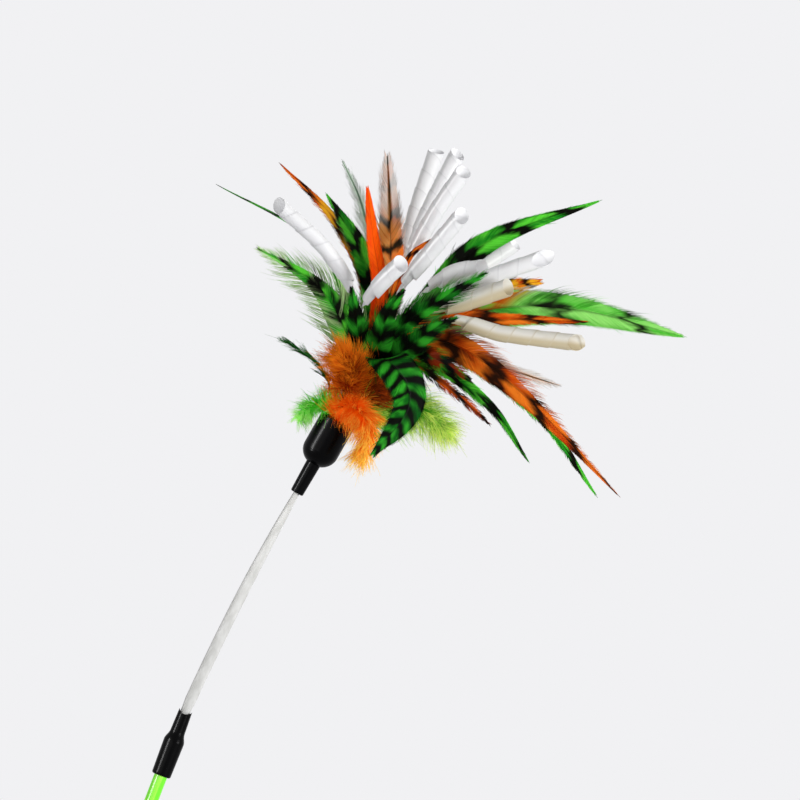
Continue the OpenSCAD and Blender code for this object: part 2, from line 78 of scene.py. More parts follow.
# %% Sizes of the CAD
MM = 0.001
REDUCER_MOUTH = 256.5
STRIP_LENGTH = 93.7
STRIP_W, STRIP_T, STRIP_PINCHED_W, PINCH_FADE = 4.4, 1.9, 3.8, 5.0
STRIP_SEAT = 8.0
WHOLE_TWIST, TWIST_EASE = 70.0, 2.0
LEAN_START, LEAN_END = math.radians(3.4), math.radians(8.6)
BEND_R = STRIP_LENGTH / (LEAN_END - LEAN_START)
CUP_LENGTH = 32.0
HELD_LEAN = math.radians(29.6)
REACH = 140.0
PLUG_TOP = -6.0
BUNDLE_HEIGHT, BUNDLE_SPREAD, LIP_HEIGHT = 20.0, 1.2, 1.5
QUILL_D, QUILL_PITCH = 0.9, 1.3
VANE_W = 14.0
CURL_D, CURL_PITCH = 6.2, 8.0


def lean_at(s):
    return LEAN_START + (LEAN_END - LEAN_START) * min(max(s / STRIP_LENGTH, 0.0), 1.0)


def strip_at(s):
    """The strip's middle line at s millimetres from the reducer's mouth."""
    if s < 0:
        return np.array([0.0, 0.0, REDUCER_MOUTH + s])
    lean, past = lean_at(s), max(s - STRIP_LENGTH, 0.0)
    x = BEND_R * (math.cos(LEAN_START) - math.cos(lean)) + past * math.sin(LEAN_END)
    z = REDUCER_MOUTH + BEND_R * (math.sin(lean) - math.sin(LEAN_START)) + past * math.cos(LEAN_END)
    return np.array([x, 0.0, z])


MOUTH = strip_at(STRIP_LENGTH + CUP_LENGTH)
HEAD_TURN = np.array(Matrix.Rotation(LEAN_END, 3, "Y"))
print("middle of the cup's mouth:", MOUTH.round(2))

# %% [markdown]
# ## Camera
# A long lens from far away shows the plume as flat as the photograph does. The camera could be placed by hand,
# but here it is worked out from the cup's mouth, so that it stays right when a size changes. It rolls, because
# the wand is held aslant in the picture.

# %% Camera
ROLL = math.radians(21.0)
FRAME_WIDTH = 307.7
PAST_MOUTH = (24.0, 8.0)
LENS, SENSOR_WIDTH, CLIP_END = 700.0, 36.0, 100.0
RIGHT = np.array([math.cos(ROLL), 0.0, math.sin(ROLL)])
UP = np.array([-math.sin(ROLL), 0.0, math.cos(ROLL)])
AHEAD = np.array([0.0, 1.0, 0.0])

camera = bpy.data.objects.new("camera", bpy.data.cameras.new("camera"))
bpy.context.scene.collection.objects.link(camera)
camera.data.lens = LENS
camera.data.sensor_width = SENSOR_WIDTH
camera.data.clip_end = CLIP_END
aim = MOUTH + PAST_MOUTH[0] * RIGHT + PAST_MOUTH[1] * UP
distance = FRAME_WIDTH * LENS / SENSOR_WIDTH
turn = Matrix(np.column_stack([RIGHT, UP, -AHEAD]).tolist())
camera.matrix_world = Matrix.Translation(Vector((aim - AHEAD * distance) * MM)) @ turn.to_4x4()
bpy.context.scene.camera = camera
bpy.context.scene.view_settings.view_transform = "Standard"
print("camera stands", round(distance * MM, 2), "m away")

# %% [markdown]
# ## Shader maths as expressions
# A material's pattern is arithmetic on sockets. Wrapping a socket in a small class lets Python's own signs
# write it: each sign adds one Math node. A second class starts a material and adds any other node.


# %% Colours and sockets
def paint(red, green, blue):
    """A colour as seen on a screen, 0 to 255, turned into the linear values that shaders use."""
    share = [c / 255 for c in (red, green, blue)]
    return tuple(c / 12.92 if c <= 0.04045 else ((c + 0.055) / 1.055) ** 2.4 for c in share) + (1.0,)


BLACK, WHITE = paint(0, 0, 0), paint(255, 255, 255)


class Value:
    """An output socket that + - * / and ** work on."""

    def __init__(self, tree, socket):
        self.tree, self.socket = tree, socket

    def maths(self, operation, *terms):
        node = self.tree.nodes.new("ShaderNodeMath")
        node.operation = operation
        for place, term in zip(node.inputs, terms):
            if isinstance(term, Value):
                self.tree.links.new(term.socket, place)
            else:
                place.default_value = term
        return Value(self.tree, node.outputs[0])

    def __add__(self, other):
        return self.maths("ADD", self, other)

    def __sub__(self, other):
        return self.maths("SUBTRACT", self, other)

    def __rsub__(self, other):
        return self.maths("SUBTRACT", other, self)

    def __mul__(self, other):
        return self.maths("MULTIPLY", self, other)

    def __truediv__(self, other):
        return self.maths("DIVIDE", self, other)

    def __pow__(self, other):
        return self.maths("POWER", self, other)

    __radd__, __rmul__ = __add__, __mul__

    def fraction(self):
        return self.maths("FRACT", self)

    def size(self):
        return self.maths("ABSOLUTE", self)

    def most(self, other):
        return self.maths("MAXIMUM", self, other)

    def step(self, low, high):
        """0 below low, 1 above high and smooth between them. It falls where low is above high."""
        node = self.tree.nodes.new("ShaderNodeMapRange")
        node.interpolation_type = "SMOOTHSTEP"
        rising = low < high
        for name, number in zip(("From Min", "From Max", "To Min", "To Max"),
                                (low, high, 0.0, 1.0) if rising else (high, low, 1.0, 0.0)):
            node.inputs[name].default_value = number
        self.tree.links.new(self.socket, node.inputs["Value"])
        return Value(self.tree, node.outputs["Result"])


print("a middle grey of the screen is", round(paint(128, 128, 128)[0], 3), "for a shader")


# %% Materials
def socket_name(key):
    return key.replace("_", " ").title().replace("Ior", "IOR")


class Finish:
    """A material with one Principled shader, whose constants are set by name."""

    def __init__(self, name, **constants):
        self.material = bpy.data.materials.new(name)
        self.material.use_nodes = True
        self.tree = self.material.node_tree
        self.surface = self.tree.nodes["Principled BSDF"]
        for key, value in constants.items():
            self.surface.inputs[socket_name(key)].default_value = value

    def node(self, kind, settings=None, sockets=None, out=0):
        """Any node: its settings are set first, then its sockets get their values or links."""
        node = self.tree.nodes.new(kind)
        for key, value in (settings or {}).items():
            setattr(node, key, value)
        for key, value in (sockets or {}).items():
            if isinstance(value, Value):
                self.tree.links.new(value.socket, node.inputs[key])
            else:
                node.inputs[key].default_value = value
        return Value(self.tree, node.outputs[out])

    def attribute(self, name):
        return self.node("ShaderNodeAttribute", {"attribute_name": name}, out="Fac")

    def place(self):
        return self.node("ShaderNodeTexCoord", out="Object")

    def stretched(self, vector, x, y, z):
        return self.node("ShaderNodeVectorMath", {"operation": "MULTIPLY"}, {0: vector, 1: (x, y, z)})

    def vector(self, x=0.0, y=0.0, z=0.0):
        return self.node("ShaderNodeCombineXYZ", sockets={"X": x, "Y": y, "Z": z})

    def noise(self, vector, scale, detail=2.0, roughness=0.5):
        return self.node("ShaderNodeTexNoise",
                         sockets={"Vector": vector, "Scale": scale, "Detail": detail, "Roughness": roughness})

    def mix(self, factor, first, second):
        return self.node("ShaderNodeMix", {"data_type": "RGBA"}, {0: factor, 6: first, 7: second}, out=2)

    def shaded(self, colour, amount):
        """The colour times a value, by way of a grey."""
        grey = self.node("ShaderNodeCombineColor", sockets={"Red": amount, "Green": amount, "Blue": amount})
        return self.node("ShaderNodeMix", {"data_type": "RGBA", "blend_type": "MULTIPLY"}, {0: 1.0, 6: colour, 7: grey},
                         out=2)

    def put(self, name, value):
        self.tree.links.new(value.socket, self.surface.inputs[name])

    def bump(self, height, strength, distance):
        self.put("Normal", self.node("ShaderNodeBump", sockets={"Height": height, "Strength": strength,
                                                                "Distance": distance}))


print("specular_ior_level sets the socket", socket_name("specular_ior_level"))

# %% [markdown]
# ## Floor
# The floor is a plain disc under the butt of the wand. A large plane would show its edge, so the disc fades out
# at its rim. Only rays from the camera, and those that end in a reflection, see the pale backdrop tone. The floor
# gives part of that tone itself and keeps the wand's shadow, and it reflects less light than it seems to, so the
# light on the object stays at a plain level.

# %% Floor
FLOOR_Z = cad_box[0].z
FLOOR_R, FLOOR_DROP, FLOOR_SIDES = 2.6, 0.0005, 96
RIM_FADE = (0.98, 0.45)


def seen_by_camera(tree):
    """1 for rays from the camera and for those that end in a reflection or pass through something."""
    light_path = tree.nodes.new("ShaderNodeLightPath")
    camera_ray, glossy, through = (Value(tree, light_path.outputs[name]) for name in
                                   ("Is Camera Ray", "Is Glossy Ray", "Is Transmission Ray"))
    return camera_ray.most(glossy).most(through)


bpy.ops.mesh.primitive_circle_add(vertices=FLOOR_SIDES, radius=FLOOR_R, fill_type="NGON",
                                  location=(0, 0, FLOOR_Z - FLOOR_DROP))
floor = bpy.context.object
floor.name = "studio_floor"
bpy.ops.object.transform_apply()
floor_paper = Finish("floor_paper", roughness=0.9, emission_strength=1.0)
seen = seen_by_camera(floor_paper.tree)
floor_paper.put("Base Color", floor_paper.mix(seen, paint(236, 236, 238), paint(146, 146, 148)))
floor_paper.put("Emission Color", floor_paper.mix(seen, BLACK, paint(190, 190, 192)))
apart = floor_paper.node("ShaderNodeVectorMath", {"operation": "LENGTH"}, {0: floor_paper.place()}, out="Value")
floor_paper.put("Alpha", apart.step(*(FLOOR_R * share for share in RIM_FADE)))
floor.data.materials.append(floor_paper.material)
floor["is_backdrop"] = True
print("floor at", round(FLOOR_Z, 4))

# %% [markdown]
# ## World
# An empty studio is one even grey all round. The world could be a picture of a studio, but two plain
# backgrounds are enough: the object gets a weak grey light, and the camera sees the pale backdrop tone.

# %% World
BACKDROP = paint(241, 241, 243)
WORLD_LIGHT = 0.35

world = bpy.data.worlds.new("studio")
bpy.context.scene.world = world
world.use_nodes = True
sky = world.node_tree
background = sky.nodes["Background"]
behind = sky.nodes.new("ShaderNodeBackground")
background.inputs["Color"].default_value = WHITE
background.inputs["Strength"].default_value = WORLD_LIGHT
behind.inputs["Color"].default_value = BACKDROP
choice = sky.nodes.new("ShaderNodeMixShader")
for place, output in enumerate((seen_by_camera(sky).socket, background.outputs[0], behind.outputs[0])):
    sky.links.new(output, choice.inputs[place])
sky.links.new(choice.outputs[0], sky.nodes["World Output"].inputs["Surface"])
print("world light", WORLD_LIGHT)

# %% [markdown]
# ## Lamps
# The photograph is lit by a wide soft light from the upper right. Area lamps give soft light, and small ones far
# away would draw hard shadows. The key stands on the right, a weak fill on the left, and a back lamp lifts the
# curls and the sides that face away. The edge lamp is a narrow bar whose reflection draws the bright line down
# the black cup. It gives no diffuse light, or it would light the feathers too.

# %% Lamps
# place as metres from the plume's middle, width and height in metres, power in watts
LAMPS = {"key": ((1.9, -1.6, 0.6), 0.9, 0.9, 46.0), "fill": ((-0.9, -1.8, -0.4), 1.2, 1.2, 7.0),
         "back": ((0.8, 2.0, 0.9), 1.2, 1.2, 9.0), "edge": ((-1.25, -0.75, -0.1), 0.05, 0.9, 42.0)}
PLUME_MIDDLE = Vector(MOUTH * MM) + Vector((0.02, 0.0, 0.06))


def lamp(name, place, target, size, size_y, power):
    """An area lamp at place, turned to shine at target."""
    data = bpy.data.lights.new(name, "AREA")
    data.shape, data.size, data.size_y, data.energy = "RECTANGLE", size, size_y, power
    lamp_object = bpy.data.objects.new(name, data)
    bpy.context.scene.collection.objects.link(lamp_object)
    lamp_object.location = place
    lamp_object.rotation_euler = (Vector(target) - Vector(place)).to_track_quat("-Z", "Y").to_euler()
    return lamp_object


lamps = {name: lamp(name, PLUME_MIDDLE + Vector(place), PLUME_MIDDLE, *rest) for name, (place, *rest) in LAMPS.items()}
lamps["edge"].visible_diffuse = False
print("lamps:", ", ".join(lamps))

# %% [markdown]
# ## The plume's table
# A feather, curl or tuft is set in the cup by a quill and then passes three places. Its line could be read off
# the CAD's mesh, but the few numbers that the CAD makes it from give a smoother one, so the table repeats them.

# %% Feathers, curls and tufts
# the quill's ring and its place in the ring, the three places as shares of the plume's reach (rightwards, upwards
# and towards the viewer from the middle of the cup's mouth), the width as a share, and a feather's turn about its
# shaft in degrees
FEATHERS = {
    "green_feather_thin_left": (4, 11, (0.04, 0.318, -0.06), (-0.07, 0.5, -0.14), (-0.337, 0.653, -0.2), 0.36, 80),
    "green_feather_broad_left": (3, 9, (0.015, 0.262, 0.02), (-0.06, 0.375, 0.03), (-0.224, 0.477, 0.05), 1.06, 0),
    "green_feather_short_left": (2, 6, (0.051, 0.263, -0.005), (0.021, 0.337, -0.005), (-0.015, 0.425, -0.015),
                                 0.32, 0),
    "orange_feather_narrow_left": (4, 10, (0.087, 0.33, -0.06), (0.000, 0.54, -0.14), (-0.163, 0.713, -0.2), 0.5, 30),
    "green_feather_upper_left": (3, 8, (0.098, 0.34, -0.025), (0.056, 0.48, -0.03), (-0.034, 0.628, -0.05), 0.72, 0),
    "pale_feather_top": (3, 7, (0.111, 0.359, -0.15), (0.067, 0.593, -0.28), (0.01, 0.724, -0.33), 0.6, 0),
    "red_orange_feather_top": (1, 3, (0.117, 0.33, 0.02), (0.098, 0.5, 0.03), (0.081, 0.645, 0.03), 0.5, 35),
    "barred_tan_feather_top": (2, 5, (0.139, 0.359, -0.105), (0.144, 0.565, -0.16), (0.136, 0.738, -0.17), 0.88, 0),
    "orange_feather_hooked": (1, 4, (0.155, 0.35, 0.02), (0.2, 0.452, 0.04), (0.265, 0.502, 0.05), 0.22, 20),
    "green_feather_upper_right": (1, 1, (0.234, 0.296, -0.045), (0.392, 0.48, -0.11), (0.729, 0.609, -0.165), 0.84, 0),
    "green_feather_far_right": (3, 0, (0.3, 0.275, -0.03), (0.6, 0.312, -0.03), (0.96, 0.23, -0.01), 1.14, 0),
    "orange_feather_back_right": (2, 1, (0.29, 0.306, -0.11), (0.433, 0.362, -0.19), (0.565, 0.385, -0.235), 0.8, 0),
    "brown_feather_right": (3, 17, (0.25, 0.262, 0.055), (0.474, 0.277, 0.065), (0.694, 0.271, 0.07), 0.48, 15),
    "orange_feather_low_right": (4, 0, (0.24, 0.222, 0.01), (0.446, 0.128, 0.048), (0.776, -0.21, 0.05), 0.94, 0),
    "pale_orange_feather_right": (4, 2, (0.254, 0.213, -0.1), (0.446, 0.15, -0.16), (0.617, 0.095, -0.19), 0.46, 0),
    "green_feather_low_right": (4, 22, (0.225, 0.162, 0.055), (0.413, 0.043, 0.12), (0.526, -0.116, 0.15), 0.42, 10),
    "green_feather_lowest_right": (3, 1, (0.268, 0.195, -0.04), (0.543, 0.024, -0.09), (0.716, -0.212, -0.12), 0.4, 0),
    "orange_feather_thin_low": (4, 21, (0.2, 0.155, 0.16), (0.323, 0.076, 0.23), (0.419, -0.012, 0.25), 0.26, -60),
    "green_feather_hanging": (4, 19, (0.135, 0.165, 0.19), (0.196, 0.052, 0.28), (0.095, -0.097, 0.25), 1.05, 70),
    "green_feather_front_left": (3, 12, (0.06, 0.212, 0.092), (0.051, 0.29, 0.135), (0.038, 0.368, 0.165), 0.7, 0),
    "green_feather_front": (3, 14, (0.118, 0.222, 0.13), (0.142, 0.3, 0.2), (0.184, 0.36, 0.26), 0.8, 0),
    "green_feather_front_right": (3, 15, (0.19, 0.196, 0.15), (0.256, 0.246, 0.25), (0.33, 0.284, 0.33), 0.74, 0),
    "pale_feather_right": (2, 10, (0.175, 0.255, 0.1), (0.29, 0.335, 0.17), (0.413, 0.408, 0.2), 0.66, 0),
    "green_feather_front_low": (3, 16, (0.172, 0.178, 0.09), (0.262, 0.172, 0.16), (0.368, 0.112, 0.21), 0.78, -30),
    "green_feather_back_left": (4, 8, (0.062, 0.225, -0.13), (0.045, 0.285, -0.28), (0.035, 0.3, -0.45), 0.72, 0),
    "orange_feather_back": (2, 4, (0.11, 0.265, -0.12), (0.14, 0.33, -0.3), (0.17, 0.345, -0.5), 0.72, 0),
    "green_feather_back_right": (3, 4, (0.15, 0.23, -0.14), (0.24, 0.26, -0.33), (0.33, 0.24, -0.5), 0.8, 0),
    "orange_feather_back_low": (4, 5, (0.12, 0.205, -0.16), (0.15, 0.185, -0.33), (0.18, 0.1, -0.48), 0.72, 0),
}
CURLS = {
    "curl_left": (3, 10, (0.052, 0.318, 0.06), (-0.026, 0.462, 0.1), (-0.16, 0.59, 0.12), 0.92),
    "curl_short_front": (2, 8, (0.067, 0.299, 0.12), (0.111, 0.367, 0.17), (0.174, 0.43, 0.2), 1.06),
    "curl_top_back": (2, 3, (0.166, 0.4, -0.16), (0.22, 0.59, -0.26), (0.272, 0.745, -0.32), 1.00),
    "curl_top_middle": (1, 2, (0.19, 0.44, -0.05), (0.256, 0.59, -0.11), (0.33, 0.735, -0.15), 1.00),
    "curl_top_front": (0, 0, (0.18, 0.4, 0.00), (0.262, 0.56, 0.01), (0.345, 0.683, 0.01), 1.00),
    "curl_upper_front": (1, 5, (0.163, 0.345, 0.06), (0.249, 0.455, 0.1), (0.34, 0.562, 0.13), 1.00),
    "curl_stub": (1, 0, (0.225, 0.34, -0.02), (0.315, 0.405, -0.03), (0.397, 0.42, -0.03), 1.06),
    "curl_pale_back": (2, 2, (0.26, 0.33, -0.17), (0.39, 0.42, -0.27), (0.49, 0.488, -0.32), 0.9),
    "curl_right_upper": (2, 0, (0.255, 0.322, 0.03), (0.42, 0.395, 0.04), (0.565, 0.446, 0.04), 1.00),
    "curl_right_middle": (2, 11, (0.235, 0.288, 0.08), (0.36, 0.328, 0.11), (0.468, 0.366, 0.12), 1.1),
    "curl_right_low": (4, 23, (0.281, 0.271, 0.108), (0.452, 0.2385, 0.136), (0.655, 0.214, 0.14), 0.99),
}
TUFTS = {
    "orange_down_front": (4, 16, (0.026, 0.09, 0.082), (0.036, 0.145, 0.118), (0.000, 0.182, 0.138), 1.1),
    "green_down_left": (4, 13, (-0.032, 0.046, 0.016), (-0.072, 0.04, 0.022), (-0.112, 0.004, 0.022), 0.5),
    "orange_down_hanging": (4, 18, (0.052, 0.035, 0.106), (0.084, -0.018, 0.13), (0.062, -0.108, 0.116), 0.96),
    "yellow_green_down_right": (4, 1, (0.115, 0.031, -0.014), (0.202, 0.04, 0.003), (0.305, -0.028, 0.018), 0.78),
    "green_down_upper_left": (4, 12, (-0.03, 0.12, -0.01), (-0.078, 0.175, -0.015), (-0.135, 0.215, -0.02), 0.5),
    "orange_down_right": (4, 20, (0.085, 0.065, 0.07), (0.13, 0.1, 0.11), (0.175, 0.075, 0.15), 0.46),
    "orange_down_back": (4, 7, (0.03, 0.06, -0.085), (0.04, 0.095, -0.14), (-0.01, 0.09, -0.2), 0.84),
    "green_down_back": (4, 3, (0.1, 0.055, -0.085), (0.162, 0.085, -0.135), (0.215, 0.03, -0.19), 0.78),
}
print(len(FEATHERS), "feathers,", len(CURLS), "curls,", len(TUFTS), "tufts")

# %% [markdown]
# ## Lines that the quills follow
# The CAD runs each shaft straight out of the cup and then as a smooth curve through its three places. The
# same curve is worked out here with many more points, together with the direction that a feather's flat side
# faces at each of them. That direction is carried along the curve without twisting.


# %% Curves through the plume
def unit(v):
    return v / np.linalg.norm(v, axis=-1, keepdims=True)


def fade(x):
    """0 up to 0, 1 from 1 on and smooth between them."""
    c = np.clip(x, 0.0, 1.0)
    return c * c * (3 - 2 * c)


def head_place(share):
    """A place in the table, in millimetres from the middle of the cup's mouth, in the head's own axes."""
    right, up, near = share
    return REACH * np.array([right * math.cos(HELD_LEAN) - up * math.sin(HELD_LEAN), -near,
                             right * math.sin(HELD_LEAN) + up * math.cos(HELD_LEAN)])


def knots_of(ring, place, *passed, height, spread):
    """Where a quill stands on the glue, where it leaves the bundle, and the three places that it passes."""
    around = math.radians(60 * place / max(ring, 1))
    foot = ring * QUILL_PITCH * np.array([math.cos(around), math.sin(around)])
    return [np.array([*foot, PLUG_TOP]), np.array([*(foot * spread), height]), *map(head_place, passed)]


def shaft_at(k, t):
    """The curve at t, 0 to 3, from the second knot through the last three."""
    ways = [unit(k[1] - k[0]), unit(k[3] - k[1]), unit(k[4] - k[2]), unit(k[4] - k[3])]
    i = min(int(t), 2)
    u = t - i
    p, q = k[i + 1], k[i + 2]
    span = np.linalg.norm(q - p)
    return (p * (2 * u ** 3 - 3 * u ** 2 + 1) + ways[i] * span * (u ** 3 - 2 * u ** 2 + u)
            + q * (3 * u ** 2 - 2 * u ** 3) + ways[i + 1] * span * (u ** 3 - u ** 2))


print("the tan feather's tip, from the cup's mouth:", head_place(FEATHERS["barred_tan_feather_top"][4]).round(1))


# %% Lines with directions
def carried(tangents, start):
    """The direction start, carried along a line so that it stays square to it."""
    faces, face = [], np.array(start, float)
    for t in tangents:
        face = face - face.dot(t) * t
        face = face / np.linalg.norm(face)
        faces.append(face)
    return np.array(faces)


class Line:
    """A line of points with its tangents, the way its flat side faces, and the length up to each point."""

    def __init__(self, head_points, turns=None):
        self.points = np.array(head_points) @ HEAD_TURN.T + MOUTH
        self.tangents = unit(np.gradient(self.points, axis=0))
        facing = carried(self.tangents, HEAD_TURN @ [0.0, -1.0, 0.0])
        if turns is not None:
            cos, sin = np.cos(turns)[:, None], np.sin(turns)[:, None]
            facing = facing * cos + np.cross(self.tangents, facing) * sin
        self.out = facing
        self.over = np.cross(facing, self.tangents)
        steps = np.linalg.norm(np.diff(self.points, axis=0), axis=1)
        self.along = np.concatenate([[0.0], np.cumsum(steps)])

    def at(self, where):
        """The places at distances along the line in millimetres, and the ways ahead, out and over there."""
        place, *ways = (np.stack([np.interp(where, self.along, field[:, c]) for c in range(3)], axis=-1)
                        for field in (self.points, self.tangents, self.out, self.over))
        return place, *map(unit, ways)


LINE_STEPS, QUILL_POINTS = 120, 12


def plume_line(set_in, height, spread, turn=0.0):
    """The whole line of a quill and its shaft in the CAD's own axes, and the length of its bare quill."""
    knots = knots_of(*set_in, height=height, spread=spread)
    quill = [knots[0] + (knots[1] - knots[0]) * u for u in np.linspace(0, 1, QUILL_POINTS)[:-1]]
    shaft = [shaft_at(knots, 3 * j / LINE_STEPS) for j in range(LINE_STEPS + 1)]
    share = np.array([0.0] * len(quill) + [j / LINE_STEPS for j in range(LINE_STEPS + 1)])
    line = Line(quill + shaft, math.radians(turn) * fade(2 * share))
    return line, line.along[len(quill)]


reach_of = {name: plume_line(row[:5], BUNDLE_HEIGHT, BUNDLE_SPREAD)[0].along[-1] for name, row in FEATHERS.items()}
longest = max(reach_of, key=reach_of.get)
print("the longest feather is", longest, "with", round(reach_of[longest]), "mm")

# %% [markdown]
# ## A mesh of strands
# A vane is hundreds of barbs and a tuft is hundreds of hairs. A particle system could grow them, but its hairs
# have no mesh for the exported model. So every barb and hair is a closed three-sided strand of a few rings, and
# numpy writes all the strands of one feather into one mesh at once. Each point remembers where it is on the
# feather, and the materials read that.


# %% Helpers for strands
THREE_SIDED = ((1.0, 0.0), (0.0, 1.0), (-1.0, 0.0))
EIGHT_SIDED = tuple((math.cos(math.tau * k / 8), math.sin(math.tau * k / 8)) for k in range(8))


def add_field(mesh, name, values):
    """A value at each point of a mesh, which the materials read by its name."""
    layer = mesh.attributes.new(name, "FLOAT", "POINT")
    layer.data.foreach_set("value", values.astype(np.float32))


class Strands:
    """Collects closed strands and makes one mesh of them."""

    def __init__(self):
        self.points, self.quads, self.caps, self.fields, self.count = [], [], [], {}, 0

    def add(self, centres, wide, ridge, half_width, height, corners=THREE_SIDED, **fields):
        """centres is strands x rings x 3. wide and ridge are directions, half_width and height lengths."""
        number, rings = centres.shape[:2]
        sides = len(corners)
        across = np.array([c[0] for c in corners])[None, None, :, None]
        upward = np.array([c[1] for c in corners])[None, None, :, None]
        ring_points = (centres[:, :, None] + wide[:, :, None] * across * half_width[:, :, None, None]
                       + ridge[:, :, None] * upward * height[:, :, None, None])
        first = self.count + (np.arange(number) * rings * sides)[:, None, None]
        j, k = np.meshgrid(np.arange(rings - 1), np.arange(sides), indexing="ij")
        n = (k + 1) % sides
        quads = np.stack([j * sides + k, j * sides + n, (j + 1) * sides + n, (j + 1) * sides + k], axis=-1)
        self.quads.append((first + quads.reshape(1, -1, 4)).reshape(-1, 4))
        root = np.arange(sides)[::-1]
        tip = (rings - 1) * sides + np.arange(sides)
        for end in (root, tip):
            fan = np.array([[end[0], end[m], end[m + 1]] for m in range(1, sides - 1)])
            self.caps.append((first + fan.reshape(1, -1, 3)).reshape(-1, 3))
        self.points.append(ring_points.reshape(-1, 3))
        self.count += number * rings * sides
        for name, field in fields.items():
            self.fields.setdefault(name, []).append(
                np.repeat(np.broadcast_to(field, (number, rings)).reshape(-1), sides))

    def add_shaft(self, line, radius, **fields):
        """A round shaft along a line, with a radius and a value of each field for each of the line's points."""
        self.add(line.points[None], line.over[None], line.out[None], radius[None], radius[None], EIGHT_SIDED, **fields)

    def add_web(self, grid, normals, half_thickness, **fields):
        """A closed thin sheet from a grid of rows x columns x 3. Its columns run to the right of its rows."""
        rows, columns = grid.shape[:2]
        both = np.concatenate([(grid + normals * half_thickness).reshape(-1, 3),
                               (grid - normals * half_thickness).reshape(-1, 3)])
        under = rows * columns
        j, k = (a.reshape(-1) for a in np.meshgrid(np.arange(rows - 1), np.arange(columns - 1), indexing="ij"))
        a, b, c, d = j * columns + k, j * columns + k + 1, (j + 1) * columns + k + 1, (j + 1) * columns + k
        quads = [np.stack([a, b, c, d], -1), np.stack([a, d, c, b], -1) + under]
        rim = np.concatenate([np.arange(columns), np.arange(1, rows) * columns + columns - 1,
                              (rows - 1) * columns + np.arange(columns - 1)[::-1],
                              np.arange(1, rows - 1)[::-1] * columns])
        after = np.roll(rim, -1)
        quads.append(np.stack([rim, rim + under, after + under, after], -1))
        self.quads.append(np.concatenate(quads) + self.count)
        self.points.append(both)
        self.count += len(both)
        for name, field in fields.items():
            self.fields.setdefault(name, []).append(np.tile(np.broadcast_to(field, (rows, columns)).reshape(-1), 2))

    def mesh_object(self, name):
        """One object of all the strands, in metres, with its fields as attributes."""
        points = np.concatenate(self.points) * MM
        quads, caps = np.concatenate(self.quads), np.concatenate(self.caps)
        a, b, c = (points[quads[:, i]] for i in range(3))
        d = points[quads[:, 3]]
        volume = (np.einsum("ij,ij->i", a, np.cross(b, c)) + np.einsum("ij,ij->i", a, np.cross(c, d))).sum()
        if volume < 0:
            quads, caps = quads[:, ::-1], caps[:, ::-1]
        mesh = bpy.data.meshes.new(name)
        mesh.vertices.add(len(points))
        mesh.vertices.foreach_set("co", points.reshape(-1))
        corners = np.concatenate([quads.reshape(-1), caps.reshape(-1)])
        mesh.loops.add(len(corners))
        mesh.loops.foreach_set("vertex_index", corners.astype(np.int32))
        starts = np.concatenate([np.arange(len(quads)) * 4, len(quads) * 4 + np.arange(len(caps)) * 3])
        mesh.polygons.add(len(starts))
        mesh.polygons.foreach_set("loop_start", starts.astype(np.int32))
        mesh.update(calc_edges=True)
        for field, parts in self.fields.items():
            add_field(mesh, field, np.concatenate(parts))
        made = bpy.data.objects.new(name, mesh)
        bpy.context.scene.collection.objects.link(made)
        return made


print("a strand has", len(THREE_SIDED), "sides and a shaft has", len(EIGHT_SIDED))


# %% Counting and placing pieces
def triangles(things):
    return sum(len(p.vertices) - 2 for thing in things for p in thing.data.polygons)


def set_on_head(piece, node):
    """The piece moves with the head, and the node that it stands for is hidden."""
    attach(piece, "head")
    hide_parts(node)


# %% [markdown]
# ## Feather finishes
# The feathers are dyed cock hackles: a clear colour crossed by black-brown bars that run out along the barbs,
# a dark shaft line, and thinner, paler barbs at the edges. The bars are a wave of the length along the shaft at
# which a barb starts, so they slant outwards as the barbs do. Noise frays their edges and tints single barbs.


# %% Barred feathers
NEVER, TIP_FADE = 2.0, 0.14


